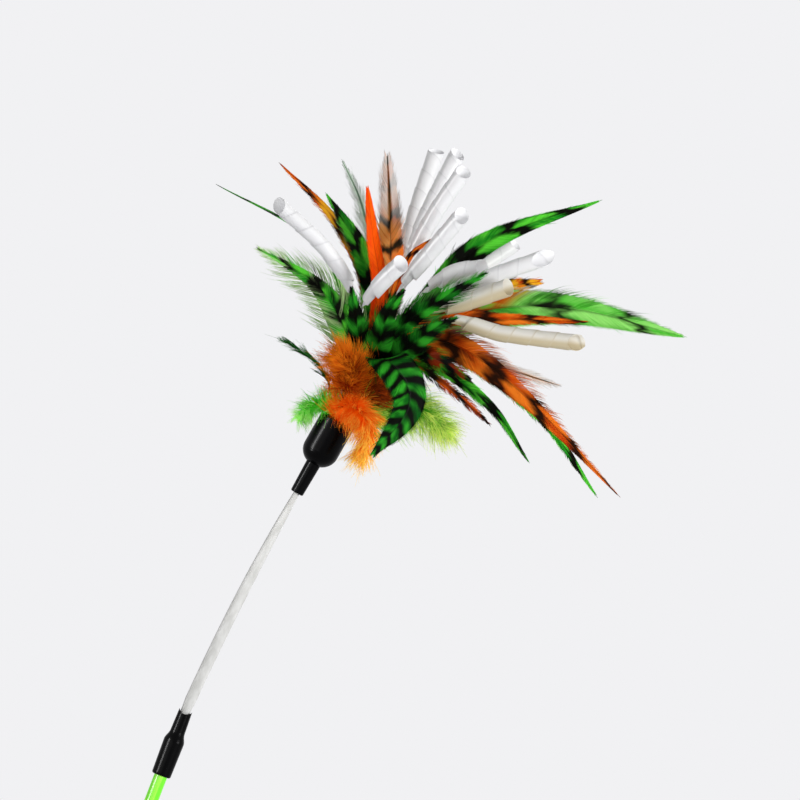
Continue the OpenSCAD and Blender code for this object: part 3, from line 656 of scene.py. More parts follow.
def barred_coat(name, light, deep, dark, edge, accent, dark_share=0.42, softness=0.24, shadow=0.35, faded=NEVER,
                ragged=0.9):
    """Two dyes in streaks, dark bars on dark_share of the length, pale barb ends, a dark shaft and root, past the
    share faded of the length a pale tip, and a painted shade, as strong as shadow, over the lower part of the feather."""
    f = Finish(name, roughness=0.5, specular_ior_level=0.03)
    bar, side, tipward, strand, warm, fringe = (
        f.attribute(name) for name in ("bar", "reach", "tipward", "strand", "warm", "fringe"))
    reach = side.size()
    cloud = f.noise(f.vector(bar, side * 0.9, strand * 0.05), 2.0)
    streak = f.noise(f.vector(bar * 0.4, side * 0.3, strand * 5.0), 3.0)
    shade = f.noise(f.vector(bar * 0.7, side * 0.8, 3.1), 1.6, 1.0)
    blotch = f.noise(f.vector(bar * 0.8, side * 0.7, 7.3), 1.5, 1.0)
    # where each colour lies, as shares from 0 to 1
    wave = ((bar + (cloud - 0.5) * ragged + (strand - 0.5) * 0.06).fraction() - 0.5).size() * 2.0
    dark_edge = (blotch - 0.5) * (0.4 + ragged) + (1.0 - dark_share)
    bars = (wave - dark_edge + 0.5).step(0.5 - softness, 0.5 + softness)
    deeper = (streak * 0.5 + shade * 0.5).step(0.40, 0.60)
    accented = warm * cloud.step(0.36, 0.50)
    pale_ends = (reach * 0.9 + fringe + cloud * 0.5).step(1.10, 1.60) * 0.9
    pale_tip = tipward.step(faded, faded + TIP_FADE) * 0.8
    beside_shaft, near_shaft, on_shaft = reach.step(0.10, 0.30), reach.step(0.26, 0.12), reach.step(0.04, 0.02) * 0.4
    root = tipward.step(0.16, 0.02) * 0.6
    # the colours, each laid over those before it
    colour = f.mix(deeper, light, deep)
    for share, layer in ((accented, accent), (bars, dark), (pale_ends, edge), (pale_tip * beside_shaft, edge),
                         (pale_tip * near_shaft, dark), (on_shaft, dark), (root, dark)):
        colour = f.mix(share, colour, layer)
    # painted shade: the colour darkens towards the feather's base, where the middle of the plume lies in shade
    inner_shadow = 1.0 - tipward.step(0.40, 0.04) * shadow
    f.put("Base Color", f.shaded(colour, (0.78 + strand * 0.44) * inner_shadow))
    return f.material


COATS = {
    "green": barred_coat("green_hackle", paint(96, 220, 60), paint(20, 136, 26), paint(9, 11, 5),
                         paint(196, 232, 160), paint(246, 150, 30), 0.46),
    # painted shade: the deep coat is the green hackle darkened, with a stronger painted shade at the base, for the
    # feathers in the plume's shaded front and middle
    "deep": barred_coat("shaded_green_hackle", paint(54, 176, 44), paint(9, 92, 19), paint(5, 8, 3),
                        paint(96, 170, 76), paint(150, 48, 8), 0.56, 0.34, 0.60, NEVER, 0.45),
    "pale": barred_coat("pale_green_hackle", paint(156, 236, 118), paint(80, 194, 54), paint(20, 26, 14),
                        paint(216, 226, 210), paint(196, 84, 12), 0.24, 0.30),
    "mint": barred_coat("mint_hackle", paint(210, 246, 214), paint(156, 226, 164), paint(96, 120, 100),
                        paint(238, 244, 238), paint(170, 230, 170), 0.26, 0.24, 0.2, 0.35),
    "orange": barred_coat("orange_hackle", paint(250, 130, 34), paint(206, 66, 6), paint(40, 18, 8),
                          paint(240, 190, 170), paint(255, 184, 40), 0.44, 0.36, 0.5, NEVER, 0.7),
    "rust": barred_coat("rust_hackle", paint(206, 84, 18), paint(110, 34, 8), paint(16, 9, 4),
                        paint(150, 80, 30), paint(50, 120, 20), 0.46, 0.34, 0.4, NEVER, 0.6),
    "plain": barred_coat("red_orange_hackle", paint(255, 98, 6), paint(246, 66, 3), paint(176, 30, 4),
                         paint(255, 126, 36), paint(255, 104, 14), -0.6),
    "tan": barred_coat("tan_hackle", paint(255, 178, 98), paint(250, 128, 46), paint(44, 36, 22),
                       paint(244, 238, 234), paint(250, 120, 28), 0.32, 0.28, 0.25, 0.66),
}
print("coats:", ", ".join(COATS))

# %% [markdown]
# ## Making a feather
# A shaft tapers from the quill to the tip. On each side of it the barbs lie side by side and hook into each
# other, so most of the vane is one closed web with a leaf's outline, and only the barbs' ends come loose. So a
# thin web is laid out first in lengths along and across the shaft, and separate barbs are laid over it on the
# same slanting paths. Barbs close up in clumps, which splits the edge, and a few stray ones stand off.

# %% How each feather looks
# coat, bar length in mm, shift of the bars, looseness and paleness of the left side and of the right side,
# where the accent colour starts on the shaft and how far it goes, and the outline: the place of the greatest
# width and how sharply both ends close
LOOKS = {
    "green_feather_thin_left": ("green", 13, 0.2, (0.05, 0.0), (0.05, 0.0), None, (0.40, 0.8)),
    "green_feather_broad_left": ("green", 14, 0.35, (0.95, 1.0), (0.9, 1.0), None, (0.38, 1.0)),
    "green_feather_short_left": ("green", 11, 0.1, (0.6, 0.5), (0.6, 0.4), None, (0.45, 0.8)),
    "orange_feather_narrow_left": ("orange", 20, 0.0, (0.1, 0.0), (0.5, 0.1), (0.45, 0.35), (0.42, 0.9)),
    "green_feather_upper_left": ("green", 15, 0.6, (0.1, 0.0), (0.4, 0.2), None, (0.42, 1.0)),
    "pale_feather_top": ("mint", 22, 0.3, (0.8, 0.6), (0.8, 0.7), None, (0.45, 0.9)),
    "red_orange_feather_top": ("plain", 40, 0.2, (0.1, 0.0), (0.2, 0.0), None, (0.42, 0.6)),
    "barred_tan_feather_top": ("tan", 12, 0.62, (0.45, 0.5), (0.45, 0.5), None, (0.50, 0.55)),
    "orange_feather_hooked": ("orange", 9, 0.4, (0.2, 0.0), (0.2, 0.0), None, (0.50, 0.6)),
    "green_feather_upper_right": ("green", 22, 0.2, (0.03, 0.0), (0.15, 0.0), None, (0.30, 1.0)),
    "green_feather_far_right": ("pale", 30, 0.35, (0.12, 0.2), (0.4, 0.5), (0.05, 0.45), (0.40, 0.85)),
    "orange_feather_back_right": ("orange", 8, 0.1, (0.3, 0.1), (0.3, 0.3), (0.0, 1.2), (0.50, 0.6)),
    "brown_feather_right": ("orange", 18, 0.0, (0.5, 0.0), (0.2, 0.0), None, (0.40, 1.0)),
    "orange_feather_low_right": ("orange", 21, 0.30, (0.15, 0.0), (0.75, 0.75), None, (0.25, 1.35)),
    "pale_orange_feather_right": ("tan", 14, 0.3, (0.9, 0.9), (0.9, 0.8), None, (0.50, 0.7)),
    "green_feather_low_right": ("green", 20, 0.2, (0.5, 0.2), (0.08, 0.0), None, (0.42, 0.9)),
    "green_feather_lowest_right": ("green", 22, 0.5, (0.5, 0.3), (0.08, 0.0), None, (0.42, 0.9)),
    "orange_feather_thin_low": ("rust", 14, 0.4, (0.8, 0.1), (0.8, 0.1), (0.3, 0.3), (0.45, 0.6)),
    "green_feather_hanging": ("deep", 6.5, 0.2, (0.12, 0.0), (0.20, 0.0), None, (0.48, 0.75)),
    "green_feather_front_left": ("deep", 11, 0.5, (0.45, 0.0), (0.35, 0.0), None, (0.45, 0.8)),
    "green_feather_front": ("deep", 12, 0.1, (0.45, 0.0), (0.45, 0.0), None, (0.45, 0.8)),
    "green_feather_front_right": ("deep", 13, 0.8, (0.5, 0.1), (0.5, 0.0), None, (0.45, 0.8)),
    "pale_feather_right": ("deep", 12, 0.3, (0.8, 0.5), (0.8, 0.6), None, (0.50, 0.8)),
    "green_feather_front_low": ("deep", 12, 0.6, (0.7, 0.0), (0.7, 0.0), (0.0, 1.3), (0.45, 0.8)),
    "green_feather_back_left": ("green", 14, 0.2, (0.2, 0.2), (0.2, 0.2), None, (0.48, 0.7)),
    "orange_feather_back": ("orange", 14, 0.2, (0.2, 0.2), (0.2, 0.2), None, (0.48, 0.7)),
    "green_feather_back_right": ("green", 14, 0.5, (0.2, 0.2), (0.2, 0.2), None, (0.48, 0.7)),
    "orange_feather_back_low": ("orange", 14, 0.6, (0.2, 0.2), (0.2, 0.2), None, (0.48, 0.7)),
}
ACCENT_FADE = 0.08


def warmth(share, accent):
    """1 where the accent colour lies on the shaft, 0 elsewhere."""
    if accent is None:
        return np.zeros_like(share)
    start, span = accent
    return fade((share - start) / ACCENT_FADE) * fade((start + span - share) / ACCENT_FADE)


print("looks:", len(LOOKS))

# %% One side of a feather
FIRST_BARB, LAST_BARB = 0.015, 0.985
STEEP_AT_BASE, STEEP_AT_TIP = 40, 18
NARROWEST, CUPPING = 0.25, 0.10


def barb_angle(share):
    return np.radians(STEEP_AT_BASE - (STEEP_AT_BASE - STEEP_AT_TIP) * share)


def opening(share):
    """How much of a feather's looseness holds at a share of its shaft. The base stays closed the most."""
    return 0.6 + 0.4 * fade((share - 0.1) / 0.5)


def clumps_of(count, random, loose):
    """For each barb, its clump's middle barb and random shares that the clump's barbs have in common."""
    middle, common = np.empty(count), np.empty((count, 5))
    start = 0
    while start < count:
        size = int(random.integers(6, 40) * (1.2 - 0.8 * loose)) + 2
        stop = min(start + size, count)
        middle[start:stop] = (start + stop - 1) / 2
        common[start:stop] = random.random(5)
        start = stop
    return middle, common


class Vane:
    """One side of a feather, laid out in shares along the shaft and millimetres across it."""

    def __init__(self, line, bare, width, side, peak, sharp):
        self.line, self.bare, self.total, self.side = line, bare, line.along[-1] - bare, side
        self.greatest, self.power, self.sharp = width * VANE_W / 2, math.log(0.5) / math.log(peak), sharp

    def half_width(self, share):
        return self.greatest * np.sin(math.pi * np.clip(share, 0.0, 1.0) ** self.power) ** self.sharp + NARROWEST

    def paths(self, share, steep, v, longer=1.0):
        """The shares along and the millimetres across that barbs from the shaft pass on their way out."""
        ends = share
        # a barb is as long as the outline is wide where it ends, and six rounds find that place
        for _ in range(6):
            reach = self.half_width(np.minimum(ends, 0.35 * share + 0.65))
            ends = share + reach / np.tan(steep) / self.total
        across = (reach * longer)[:, None] * (1 - (1 - v) ** 1.3)
        return share[:, None] + ((ends - share) * longer)[:, None] * v ** 1.1, across

    def points(self, along, across, lift):
        """Places and outward directions of shares along, millimetres across and millimetres off the web."""
        where = self.bare + self.total * along
        past = np.maximum(where - self.line.along[-1], 0)
        place, ahead, out, over = self.line.at(where)
        droop = lift - CUPPING * across ** 2 / self.greatest
        return (place + ahead * past[..., None] + over * (self.side * across)[..., None]
                + out * droop[..., None]), out


print("barbs leave the shaft at", STEEP_AT_BASE, "to", STEEP_AT_TIP, "degrees")

# %% The web and its loose barbs
BARB_SPACING, BARB_RINGS = 0.30, 7
WEB_ROWS, WEB_COLUMNS = 80, 8
WEB_HALF_T, BARB_T = 0.03, 0.05


def across_field(side, v):
    """Where a point lies from the shaft to the edge: 0.06 to 1 on the right side, and negative on the left."""
    return side * (0.06 + 0.94 * v)


def lay_web(strands, vane, bar_of, loose, pale, warm_of):
    share = np.linspace(FIRST_BARB, LAST_BARB, WEB_ROWS)
    edge = 0.94 - 0.55 * loose * opening(share)
    v = np.linspace(0, 1, WEB_COLUMNS)[None, :] * edge[:, None]
    along, across = vane.paths(share, barb_angle(share), v)
    grid, out = vane.points(along, across, 0.0)
    fields = {"bar": bar_of(share[:, None], along), "reach": across_field(vane.side, v), "tipward": along,
              "strand": np.full_like(v, 0.5), "fringe": np.full_like(v, pale * 0.5),
              "warm": np.broadcast_to(warm_of(share)[:, None], v.shape)}
    if vane.side > 0:
        grid, out = grid[::-1], out[::-1]
        fields = {key: value[::-1] for key, value in fields.items()}
    strands.add_web(grid, out, WEB_HALF_T, **fields)


def lay_barbs(strands, vane, bar_of, looseness, paleness, warm_of, random):
    covered = LAST_BARB - FIRST_BARB
    count = int(vane.total * covered / BARB_SPACING)
    share = FIRST_BARB + covered * (np.arange(count) + random.uniform(-0.3, 0.3, count)) / count
    share = np.clip(share, 0.01, 0.99)
    loose = looseness * opening(share) + 0.4 * fade((0.18 - share) / 0.10)
    # each barb leans a little with its clump and a little on its own, and a few are strays
    middle, common = clumps_of(count, random, looseness)
    steep = barb_angle(share) * (1 - 0.05 * loose) + np.radians(7) * (common[:, 0] - 0.5) * loose
    steep = np.maximum(steep + random.normal(0, 1, count) * np.radians(0.3 + 2.6 * loose), np.radians(8))
    stray = random.random(count) < 0.008 + 0.10 * loose
    # clumps and single barbs differ in length, and very loose feathers have longer barbs
    longer = (1 + (common[:, 1] - 0.55) * 0.36 * loose) * (1 + random.normal(0, 1, count) * (0.010 + 0.08 * loose))
    longer = longer * (1 + 0.6 * max(looseness - 0.5, 0))
    longer = np.where(stray, longer * random.uniform(1.05, 1.35, count), longer)
    v = np.linspace(0, 1, BARB_RINGS)[None, :]
    along, across = vane.paths(share, steep, v, longer)
    # the ends close up towards the middle of their clump, and strays lift off
    gather = (middle - np.arange(count)) * covered / count * (0.1 + 0.8 * common[:, 3]) * loose
    along = along + gather[:, None] * v ** 2.2 + (stray * random.normal(0, 0.012, count))[:, None] * v ** 2
    lift = (common[:, 2] - 0.5) * 0.5 * loose + random.normal(0, 1, count) * (0.01 + 0.08 * loose)
    centres, out = vane.points(along, across, lift[:, None] * across * v)
    way = unit(np.gradient(centres, axis=1))
    wide = unit(np.cross(out, way))
    ridge = np.cross(way, wide)
    apart = BARB_SPACING * np.sin(steep)[:, None]
    broad = np.maximum(apart * 0.75, 0.09) * (1 - 0.80 * fade((v - 0.65) / 0.35)) * (1 - 0.4 * loose[:, None] * v)
    pale = paleness * (0.5 + 0.5 * common[:, 4])
    strands.add(centres, wide, ridge, broad, BARB_T + broad * 0.12, bar=bar_of(share[:, None], along),
                reach=across_field(vane.side, v), tipward=along, strand=random.random(count)[:, None],
                fringe=pale[:, None], warm=warm_of(share)[:, None])


print("barbs on each 100 mm of shaft:", 2 * int(100 / BARB_SPACING))

# %% All feathers
CROSSWISE = 0.6
FIRST_FEATHER_SEED = 100


def feather(name, seed):
    *set_in, width, turn = FEATHERS[name]
    coat, bar_length, shift, left, right, accent, outline = LOOKS[name]
    one_sided = accent is not None and coat == "pale"
    random = np.random.default_rng(seed)
    line, bare = plume_line(set_in, BUNDLE_HEIGHT, BUNDLE_SPREAD, turn)
    total = line.along[-1] - bare
    share = np.clip((line.along - bare) / total, 0, 1)
    strands = Strands()
    strands.add_shaft(line, QUILL_D / 2 * (1 - 0.82 * share ** 0.7), bar=(line.along - bare) / bar_length + shift,
                      reach=0.0, tipward=share, strand=0.5, warm=warmth(share, accent), fringe=0.0)
    for side, (loose, pale) in ((-1, left), (1, right)):
        def bar_of(start, along):
            return (start * (1 - CROSSWISE) + along * CROSSWISE) * total / bar_length + shift + 0.10 * side

        def warm_of(start):
            return warmth(start, accent) * (1.0 if side > 0 or not one_sided else 0.0)

        vane = Vane(line, bare, width, side, *outline)
        lay_web(strands, vane, bar_of, loose, pale, warm_of)
        lay_barbs(strands, vane, bar_of, loose, pale, warm_of, random)
    made = strands.mesh_object(name + "_barbs")
    made.data.materials.append(COATS[coat])
    set_on_head(made, name)
    return made


feathers = [feather(name, FIRST_FEATHER_SEED + i) for i, name in enumerate(FEATHERS)]
print("feather triangles:", triangles(feathers))

# %% [markdown]
# ## Down
# Each tuft is marabou: a short shaft with long, limp hairs that leave it all round, gather in wisps and all
# bend the way the tuft hangs. Single hairs in mesh keep that look from every side, which a shell with an
# alpha pattern wouldn't. The hairs are deepest where they start and palest at the tips. Light passes through
# down, and a weak glow in the hairs' own colour stands for that.


# %% Finishes of the down
def down_finish(name, root, middle, tip, glow):
    f = Finish(name, roughness=0.7, specular_ior_level=0.03, emission_strength=glow)
    reach, strand, tipward = f.attribute("reach"), f.attribute("strand"), f.attribute("tipward")
    # painted shade: each hair is darkest near the shaft, deep in the tuft where shade falls, and pales towards its tip
    far = reach * 0.6 + tipward * 0.5 + (strand - 0.5) * 0.35
    colour = f.mix(far.step(0.05, 0.40), root, middle)
    colour = f.mix(far.step(0.48, 0.92), colour, tip)
    colour = f.shaded(colour, 0.60 + strand * 0.80)
    f.put("Base Color", colour)
    f.put("Emission Color", colour)
    return f.material


rusty = down_finish("rusty_down", paint(96, 28, 2), paint(214, 80, 5), paint(255, 146, 30), 0.02)
bright = down_finish("bright_orange_down", paint(230, 70, 2), paint(255, 116, 8), paint(255, 206, 76), 0.14)
leafy = down_finish("green_down", paint(16, 120, 14), paint(92, 230, 54), paint(190, 255, 140), 0.12)
dusky = down_finish("dark_green_down", paint(3, 36, 6), paint(12, 88, 20), paint(64, 136, 60), 0.0)
brown = down_finish("brown_down", paint(36, 14, 2), paint(108, 38, 6), paint(206, 92, 20), 0.0)
lemon = down_finish("yellow_green_down", paint(10, 90, 12), paint(84, 200, 40), paint(224, 246, 120), 0.08)
print("down:", ", ".join(m.name for m in (rusty, bright, leafy, dusky, brown, lemon)))

# %% How each tuft looks
# finish, wisps, the way in which the hairs bend as [right, up, near] in the picture, their length in mm, the
# least and greatest angle in degrees at which they leave the shaft, and the share of the shaft that is bare
HAIRS = {
    "orange_down_front": (rusty, 420, (-0.20, 0.10, 0.20), 15.5, (65, 120), 0.45),
    "green_down_left": (leafy, 220, (0.50, -0.05, 0.15), 8.5, (60, 115), 0.0),
    "orange_down_hanging": (bright, 440, (-0.14, -0.35, 0.25), 13.0, (50, 110), 0.0),
    "yellow_green_down_right": (lemon, 560, (0.05, -0.50, 0.10), 17.0, (60, 120), 0.0),
    "green_down_upper_left": (dusky, 34, (-0.50, 0.0, 0.0), 13.0, (6, 46), 0.20),
    "orange_down_right": (brown, 320, (0.80, -0.10, 0.20), 16.0, (45, 105), 0.40),
    "orange_down_back": (rusty, 220, (-0.30, -0.20, -0.40), 13.0, (50, 100), 0.0),
    "green_down_back": (dusky, 220, (0.20, -0.30, -0.40), 13.0, (50, 100), 0.0),
}
WISP_HAIRS, HAIR_RINGS = 8, 7
HAIR_HALF_T = 0.13
print("hairs:", sum(row[1] for row in HAIRS.values()) * WISP_HAIRS)


# %% The hairs of a tuft
def lay_hairs(strands, line, bare, wisps, flow, hair, spread, first, random):
    """Hairs that leave the shaft all round. What a wisp shares is drawn once for its hairs."""
    of_wisp = np.repeat(np.arange(wisps), WISP_HAIRS)
    count = len(of_wisp)
    share = first + (1 - first) * np.sort(random.beta(0.8, 1.0, wisps))[of_wisp]
    round_about = random.uniform(0, math.tau, wisps)[of_wisp] + random.normal(0, 0.16, count)
    steep = np.radians(random.uniform(*spread, wisps)[of_wisp] - 30 * share) + random.normal(0, 0.08, count)
    # hairs get shorter towards the tip, and one in fifty stands out of the tuft
    length = hair * random.uniform(0.6, 1.15, wisps)[of_wisp] * random.uniform(0.7, 1.05, count)
    length = length * (1.05 - 0.35 * share)
    length = np.where(random.random(count) < 0.02, length * 1.45, length)
    bend = random.normal(0, 0.45, wisps)[of_wisp] + random.normal(0, 0.16, count)
    pull = random.uniform(0.5, 1.5, wisps)[of_wisp]
    where = bare + (line.along[-1] - bare) * share * 0.96 + random.normal(0, 0.4, count)
    root, ahead, out, over = line.at(where)
    radial = np.cos(round_about)[:, None] * out + np.sin(round_about)[:, None] * over
    swirl = np.cross(ahead, radial)
    towards = flow[0] * RIGHT + flow[1] * UP - flow[2] * AHEAD
    # each ring's way is turned by the hair's own bend and by the way in which the tuft hangs
    v = np.linspace(0, 1, HAIR_RINGS)[None, :]
    angle = steep[:, None] * (1.1 - 0.6 * v)
    way = np.cos(angle)[..., None] * ahead[:, None] + np.sin(angle)[..., None] * radial[:, None]
    way = unit(way + swirl[:, None] * (bend[:, None] * v)[..., None] + towards * (pull[:, None] * v)[..., None])
    step = (length / (HAIR_RINGS - 1))[:, None, None]
    centres = root[:, None] + np.concatenate([np.zeros((count, 1, 3)), np.cumsum(way[:, 1:] * step, axis=1)], axis=1)
    # a light wave along the hair
    phase, waves = random.uniform(0, math.tau, count)[:, None], random.uniform(0.6, 1.8, count)[:, None]
    wave = 0.35 * v * np.sin(phase + math.tau * waves * v)
    centres = centres + swirl[:, None] * wave[..., None] + radial[:, None] * (0.6 * wave * np.cos(phase))[..., None]
    wide = unit(np.cross(way, radial[:, None] + 0.01))
    thick = (HAIR_HALF_T * (1 - 0.75 * v)) * random.uniform(0.6, 1.3, count)[:, None]
    tint = np.clip(random.random(wisps)[of_wisp] * 0.75 + random.random(count) * 0.25, 0, 1)
    strands.add(centres, wide, np.cross(way, wide), thick, thick, reach=v, strand=tint[:, None],
                tipward=share[:, None])


print("each hair has", HAIR_RINGS, "rings and each wisp", WISP_HAIRS, "hairs")

# %% All tufts
FIRST_TUFT_SEED = 300


def tuft(name, seed):
    *set_in, _ = TUFTS[name]
    finish, *looks = HAIRS[name]
    line, bare = plume_line(set_in, LIP_HEIGHT, 1.0)
    strands = Strands()
    lay_hairs(strands, line, bare, *looks, np.random.default_rng(seed))
    share = np.clip((line.along - bare) / (line.along[-1] - bare), 0, 1)
    strands.add_shaft(line, QUILL_D / 2 * (1 - 0.8 * share), reach=0.0, strand=0.5, tipward=0.0)
    made = strands.mesh_object(name + "_hairs")
    made.data.materials.append(finish)
    set_on_head(made, name)
    return made


tufts = [tuft(name, FIRST_TUFT_SEED + i) for i, name in enumerate(TUFTS)]
print("tuft triangles:", triangles(tufts))

# %% [markdown]
# ## Crinkle curls
# A curl is one tape of white film, wound in a spiral so that each turn laps over the one before. A plain tube
# would lose the slanted edges. So a long flat tape is added as a grid, as the film is cut, and then each of its
# points is wound onto the curl's line. Its end is cut aslant with a bisect, and Solidify gives the film its
# thickness. The inner of its two skins glows a little, as light passes through the film.


# %% Film
INNER_GLOW = 0.08


def film_finish(name, white, shade, painted_underside):
    f = Finish(name, roughness=0.38, specular_ior_level=0.35, emission_strength=1.0)
    across, turn_share = f.attribute("across"), f.attribute("turned")
    soft = f.noise(f.stretched(f.place(), 60.0, 60.0, 60.0), 2.0)
    crease = f.noise(f.vector(turn_share * 3.0, across * 1.2, 0.0), 5.0, 3.0)
    # painted shade: film that faces down takes the painted underside colour, a greyer white, and on the cream curls a
    # beige that also stands for warm light reflected from below; near both edges of the tape, where the turns lap, the
    # colour darkens towards the shade colour
    facing_down, lap_edge = f.attribute("under").step(0.30, 0.70) * 0.9, across.size().step(0.80, 1.0) * 0.6
    colour = f.mix(facing_down, white, painted_underside)
    colour = f.mix(lap_edge, colour, shade)
    colour = f.mix(soft.step(0.45, 0.75) * 0.35, colour, shade)
    f.put("Base Color", colour)
    f.put("Emission Color", f.shaded(colour, f.attribute("inside") * INNER_GLOW))
    f.bump(crease, 0.12, 0.0003)
    return f.material


# each film's own colour, its shade colour, and its painted underside of shade and reflected light
FILMS = {"white": film_finish("white_film", paint(246, 246, 247), paint(222, 222, 224), paint(236, 236, 238)),
         "cream": film_finish("cream_film", paint(232, 229, 220), paint(204, 193, 168), paint(196, 180, 142))}
CREAM_CURLS = ("curl_right_middle", "curl_right_low")
print("films:", ", ".join(FILMS))

# %% Winding the tape
TURN_STEPS, TAPE_ACROSS = 30, 6
SPARE_TURNS, OPEN_TURNS = 0.9, 1.9
TAPE_SHARE = 0.60
LAP, FILM_T = 0.30, 0.14
LINE_FROM, CURL_STEPS = 1.0, 200


def wind(flat, line, tube_r, wound_turns):
    """Where the points of a flat tape, 2 long and 2 wide, lie once it is wound on the line, and their fields."""
    far, across = (flat[:, 0] + 1) / 2 * wound_turns, flat[:, 1]
    lead = math.atan(CURL_PITCH / (math.tau * tube_r))
    half = TAPE_SHARE * CURL_PITCH * math.cos(lead)
    # the tube opens out of the quill over its first turns
    grow = (QUILL_D / 2 + (tube_r - QUILL_D / 2) * fade(far / OPEN_TURNS)) / tube_r
    where = far * CURL_PITCH
    around = across * half * math.sin(lead) / tube_r - math.tau * far
    shifted = where + half * math.cos(lead) * grow * across
    middle, ahead, *_ = line.at(shifted)
    past = np.maximum(shifted - line.along[-1], 0) + np.minimum(shifted, 0)
    out = line.at(where)[2]
    sideways = np.cross(ahead, out)
    outward = out * np.cos(around)[:, None] + sideways * np.sin(around)[:, None]
    radius = tube_r * grow + LAP * across * grow / 2
    wound = middle + ahead * past[:, None] + outward * radius[:, None]
    return wound, {"across": across, "turned": far, "under": 0.5 - 0.5 * outward @ UP}


tape_width = 2 * TAPE_SHARE * CURL_PITCH * math.cos(math.atan(CURL_PITCH / (math.pi * CURL_D)))
print("the tape is", round(tape_width, 1), "mm wide and", round(100 * (tape_width / CURL_PITCH - 1)), "% over its pitch")

# %% Cutting the end and making the film thick
# how far each end is cut aslant, and to which side its long lip points, in degrees
CUTS = {"curl_left": (40, 165), "curl_short_front": (26, 180), "curl_top_back": (34, 170), "curl_top_middle": (38, 200),
        "curl_top_front": (36, 180), "curl_upper_front": (38, 195), "curl_stub": (36, 180), "curl_pale_back": (40, 180),
        "curl_right_upper": (56, 185), "curl_right_middle": (26, 180), "curl_right_low": (48, 175)}


def cut_end(line, aslant, lip):
    """Cut the active tape at its line's end by a plane that is tilted by the angle aslant towards the lip."""
    way, out = line.tangents[-1], line.out[-1]
    side = np.cross(way, out)
    cut_normal = way * math.cos(aslant) - (out * math.cos(lip) + side * math.sin(lip)) * math.sin(aslant)
    bpy.ops.object.mode_set(mode="EDIT")
    bpy.ops.mesh.select_all(action="SELECT")
    bpy.ops.mesh.bisect(plane_co=line.points[-1] * MM, plane_no=cut_normal, clear_outer=True)
    bpy.ops.object.mode_set(mode="OBJECT")


def thicken(tape):
    """Give the film its thickness. The first half of the new mesh's points is its inner skin."""
    solid = tape.modifiers.new("film", "SOLIDIFY")
    solid.thickness, solid.offset = FILM_T * MM, 0.0
    bpy.ops.object.modifier_apply(modifier="film")
    add_field(tape.data, "inside", np.repeat([1.0, 0.0], len(tape.data.vertices) // 2))


print("the film is cut", min(a for a, _ in CUTS.values()), "to", max(a for a, _ in CUTS.values()), "degrees aslant")


# %% All curls
def curl_stem(name, knots):
    """The bare stem on which a curl is wound, from the glue to just inside the curl."""
    stem_line = Line([knots[0], knots[1]] + [shaft_at(knots, (LINE_FROM + 0.1) * j / 12) for j in range(1, 13)])
    strands = Strands()
    strands.add_shaft(stem_line, np.full(len(stem_line.points), QUILL_D / 2 - 0.05), across=0.0, under=0.0, inside=0.0,
                      turned=stem_line.along / CURL_PITCH)
    stem = strands.mesh_object(name + "_stem")
    stem.data.materials.append(FILMS["white"])
    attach(stem, "head")


def curl(name):
    *set_in, width = CURLS[name]
    knots = knots_of(*set_in, height=BUNDLE_HEIGHT, spread=BUNDLE_SPREAD)
    line = Line([shaft_at(knots, LINE_FROM + (3 - LINE_FROM) * j / CURL_STEPS) for j in range(CURL_STEPS + 1)])
    wound_turns = line.along[-1] / CURL_PITCH + SPARE_TURNS
    bpy.ops.mesh.primitive_grid_add(x_subdivisions=int(wound_turns * TURN_STEPS), y_subdivisions=TAPE_ACROSS, size=2)
    tape = bpy.context.object
    tape.name = name + "_tape"
    flat = np.array([v.co for v in tape.data.vertices])
    wound, fields = wind(flat, line, width * CURL_D / 2, wound_turns)
    tape.data.vertices.foreach_set("co", (wound * MM).reshape(-1))
    for field, values in fields.items():
        add_field(tape.data, field, values)
    tape.data.update()
    cut_end(line, *(math.radians(angle) for angle in CUTS[name]))
    thicken(tape)
    bpy.ops.object.shade_smooth_by_angle(angle=math.radians(35))
    tape.data.materials.append(FILMS["cream" if name in CREAM_CURLS else "white"])
    bpy.ops.object.select_all(action="DESELECT")
    set_on_head(tape, name)
    curl_stem(name, knots)
    return tape


curls = [curl(name) for name in CURLS]
print("curl triangles:", triangles(curls))

# %% [markdown]
# ## The springy strip
# The strip is one milky band, pinched at both ends and twisted on the way. It bends at four places in the
# model, so it is made as four lengths, each from the middle of one stiff stretch to the middle of the next.
# The ends then meet where nothing bends. A flat oval is added as a circle and extruded step by step, and every
# ring is then set on the strip's line. A slow noise along the strip moves its tone between two milky greys.

# %% The strip's shape
ROUNDING = 0.85


def twist_at(s):
    return math.radians(WHOLE_TWIST) * (min(max(s / STRIP_LENGTH, 0), 1)) ** TWIST_EASE


def strip_width(s):
    return STRIP_PINCHED_W + (STRIP_W - STRIP_PINCHED_W) * float(fade(min(s, STRIP_LENGTH - s) / PINCH_FADE))


def strip_point(across, through, s):
    """A point of the strip: shares across its width and through its thickness, at s along it."""
    lean = 0.0 if s < 0 else lean_at(s)
    side, turn = np.array([math.cos(lean), 0.0, -math.sin(lean)]), twist_at(s)
    broad = side * math.cos(turn) + np.array([0.0, math.sin(turn), 0.0])
    flat = np.array([0.0, math.cos(turn), 0.0]) - side * math.sin(turn)
    return strip_at(s) + broad * across * strip_width(s) / 2 + flat * through * STRIP_T / 2


print("the strip is", STRIP_W, "mm wide and", strip_width(0), "mm where it is pinched")

# %% The strip's plastic
strip_plastic = Finish("milky_plastic", roughness=0.42, specular_ior_level=0.15)
along_strip, across_strip = strip_plastic.attribute("along") * 0.09, strip_plastic.attribute("across") * 0.5
patch = strip_plastic.noise(strip_plastic.vector(along_strip, across_strip), 1.6)
strip_plastic.put("Base Color", strip_plastic.mix(patch.step(0.34, 0.66), paint(220, 220, 218), paint(204, 204, 201)))
print("plastic:", strip_plastic.material.name)

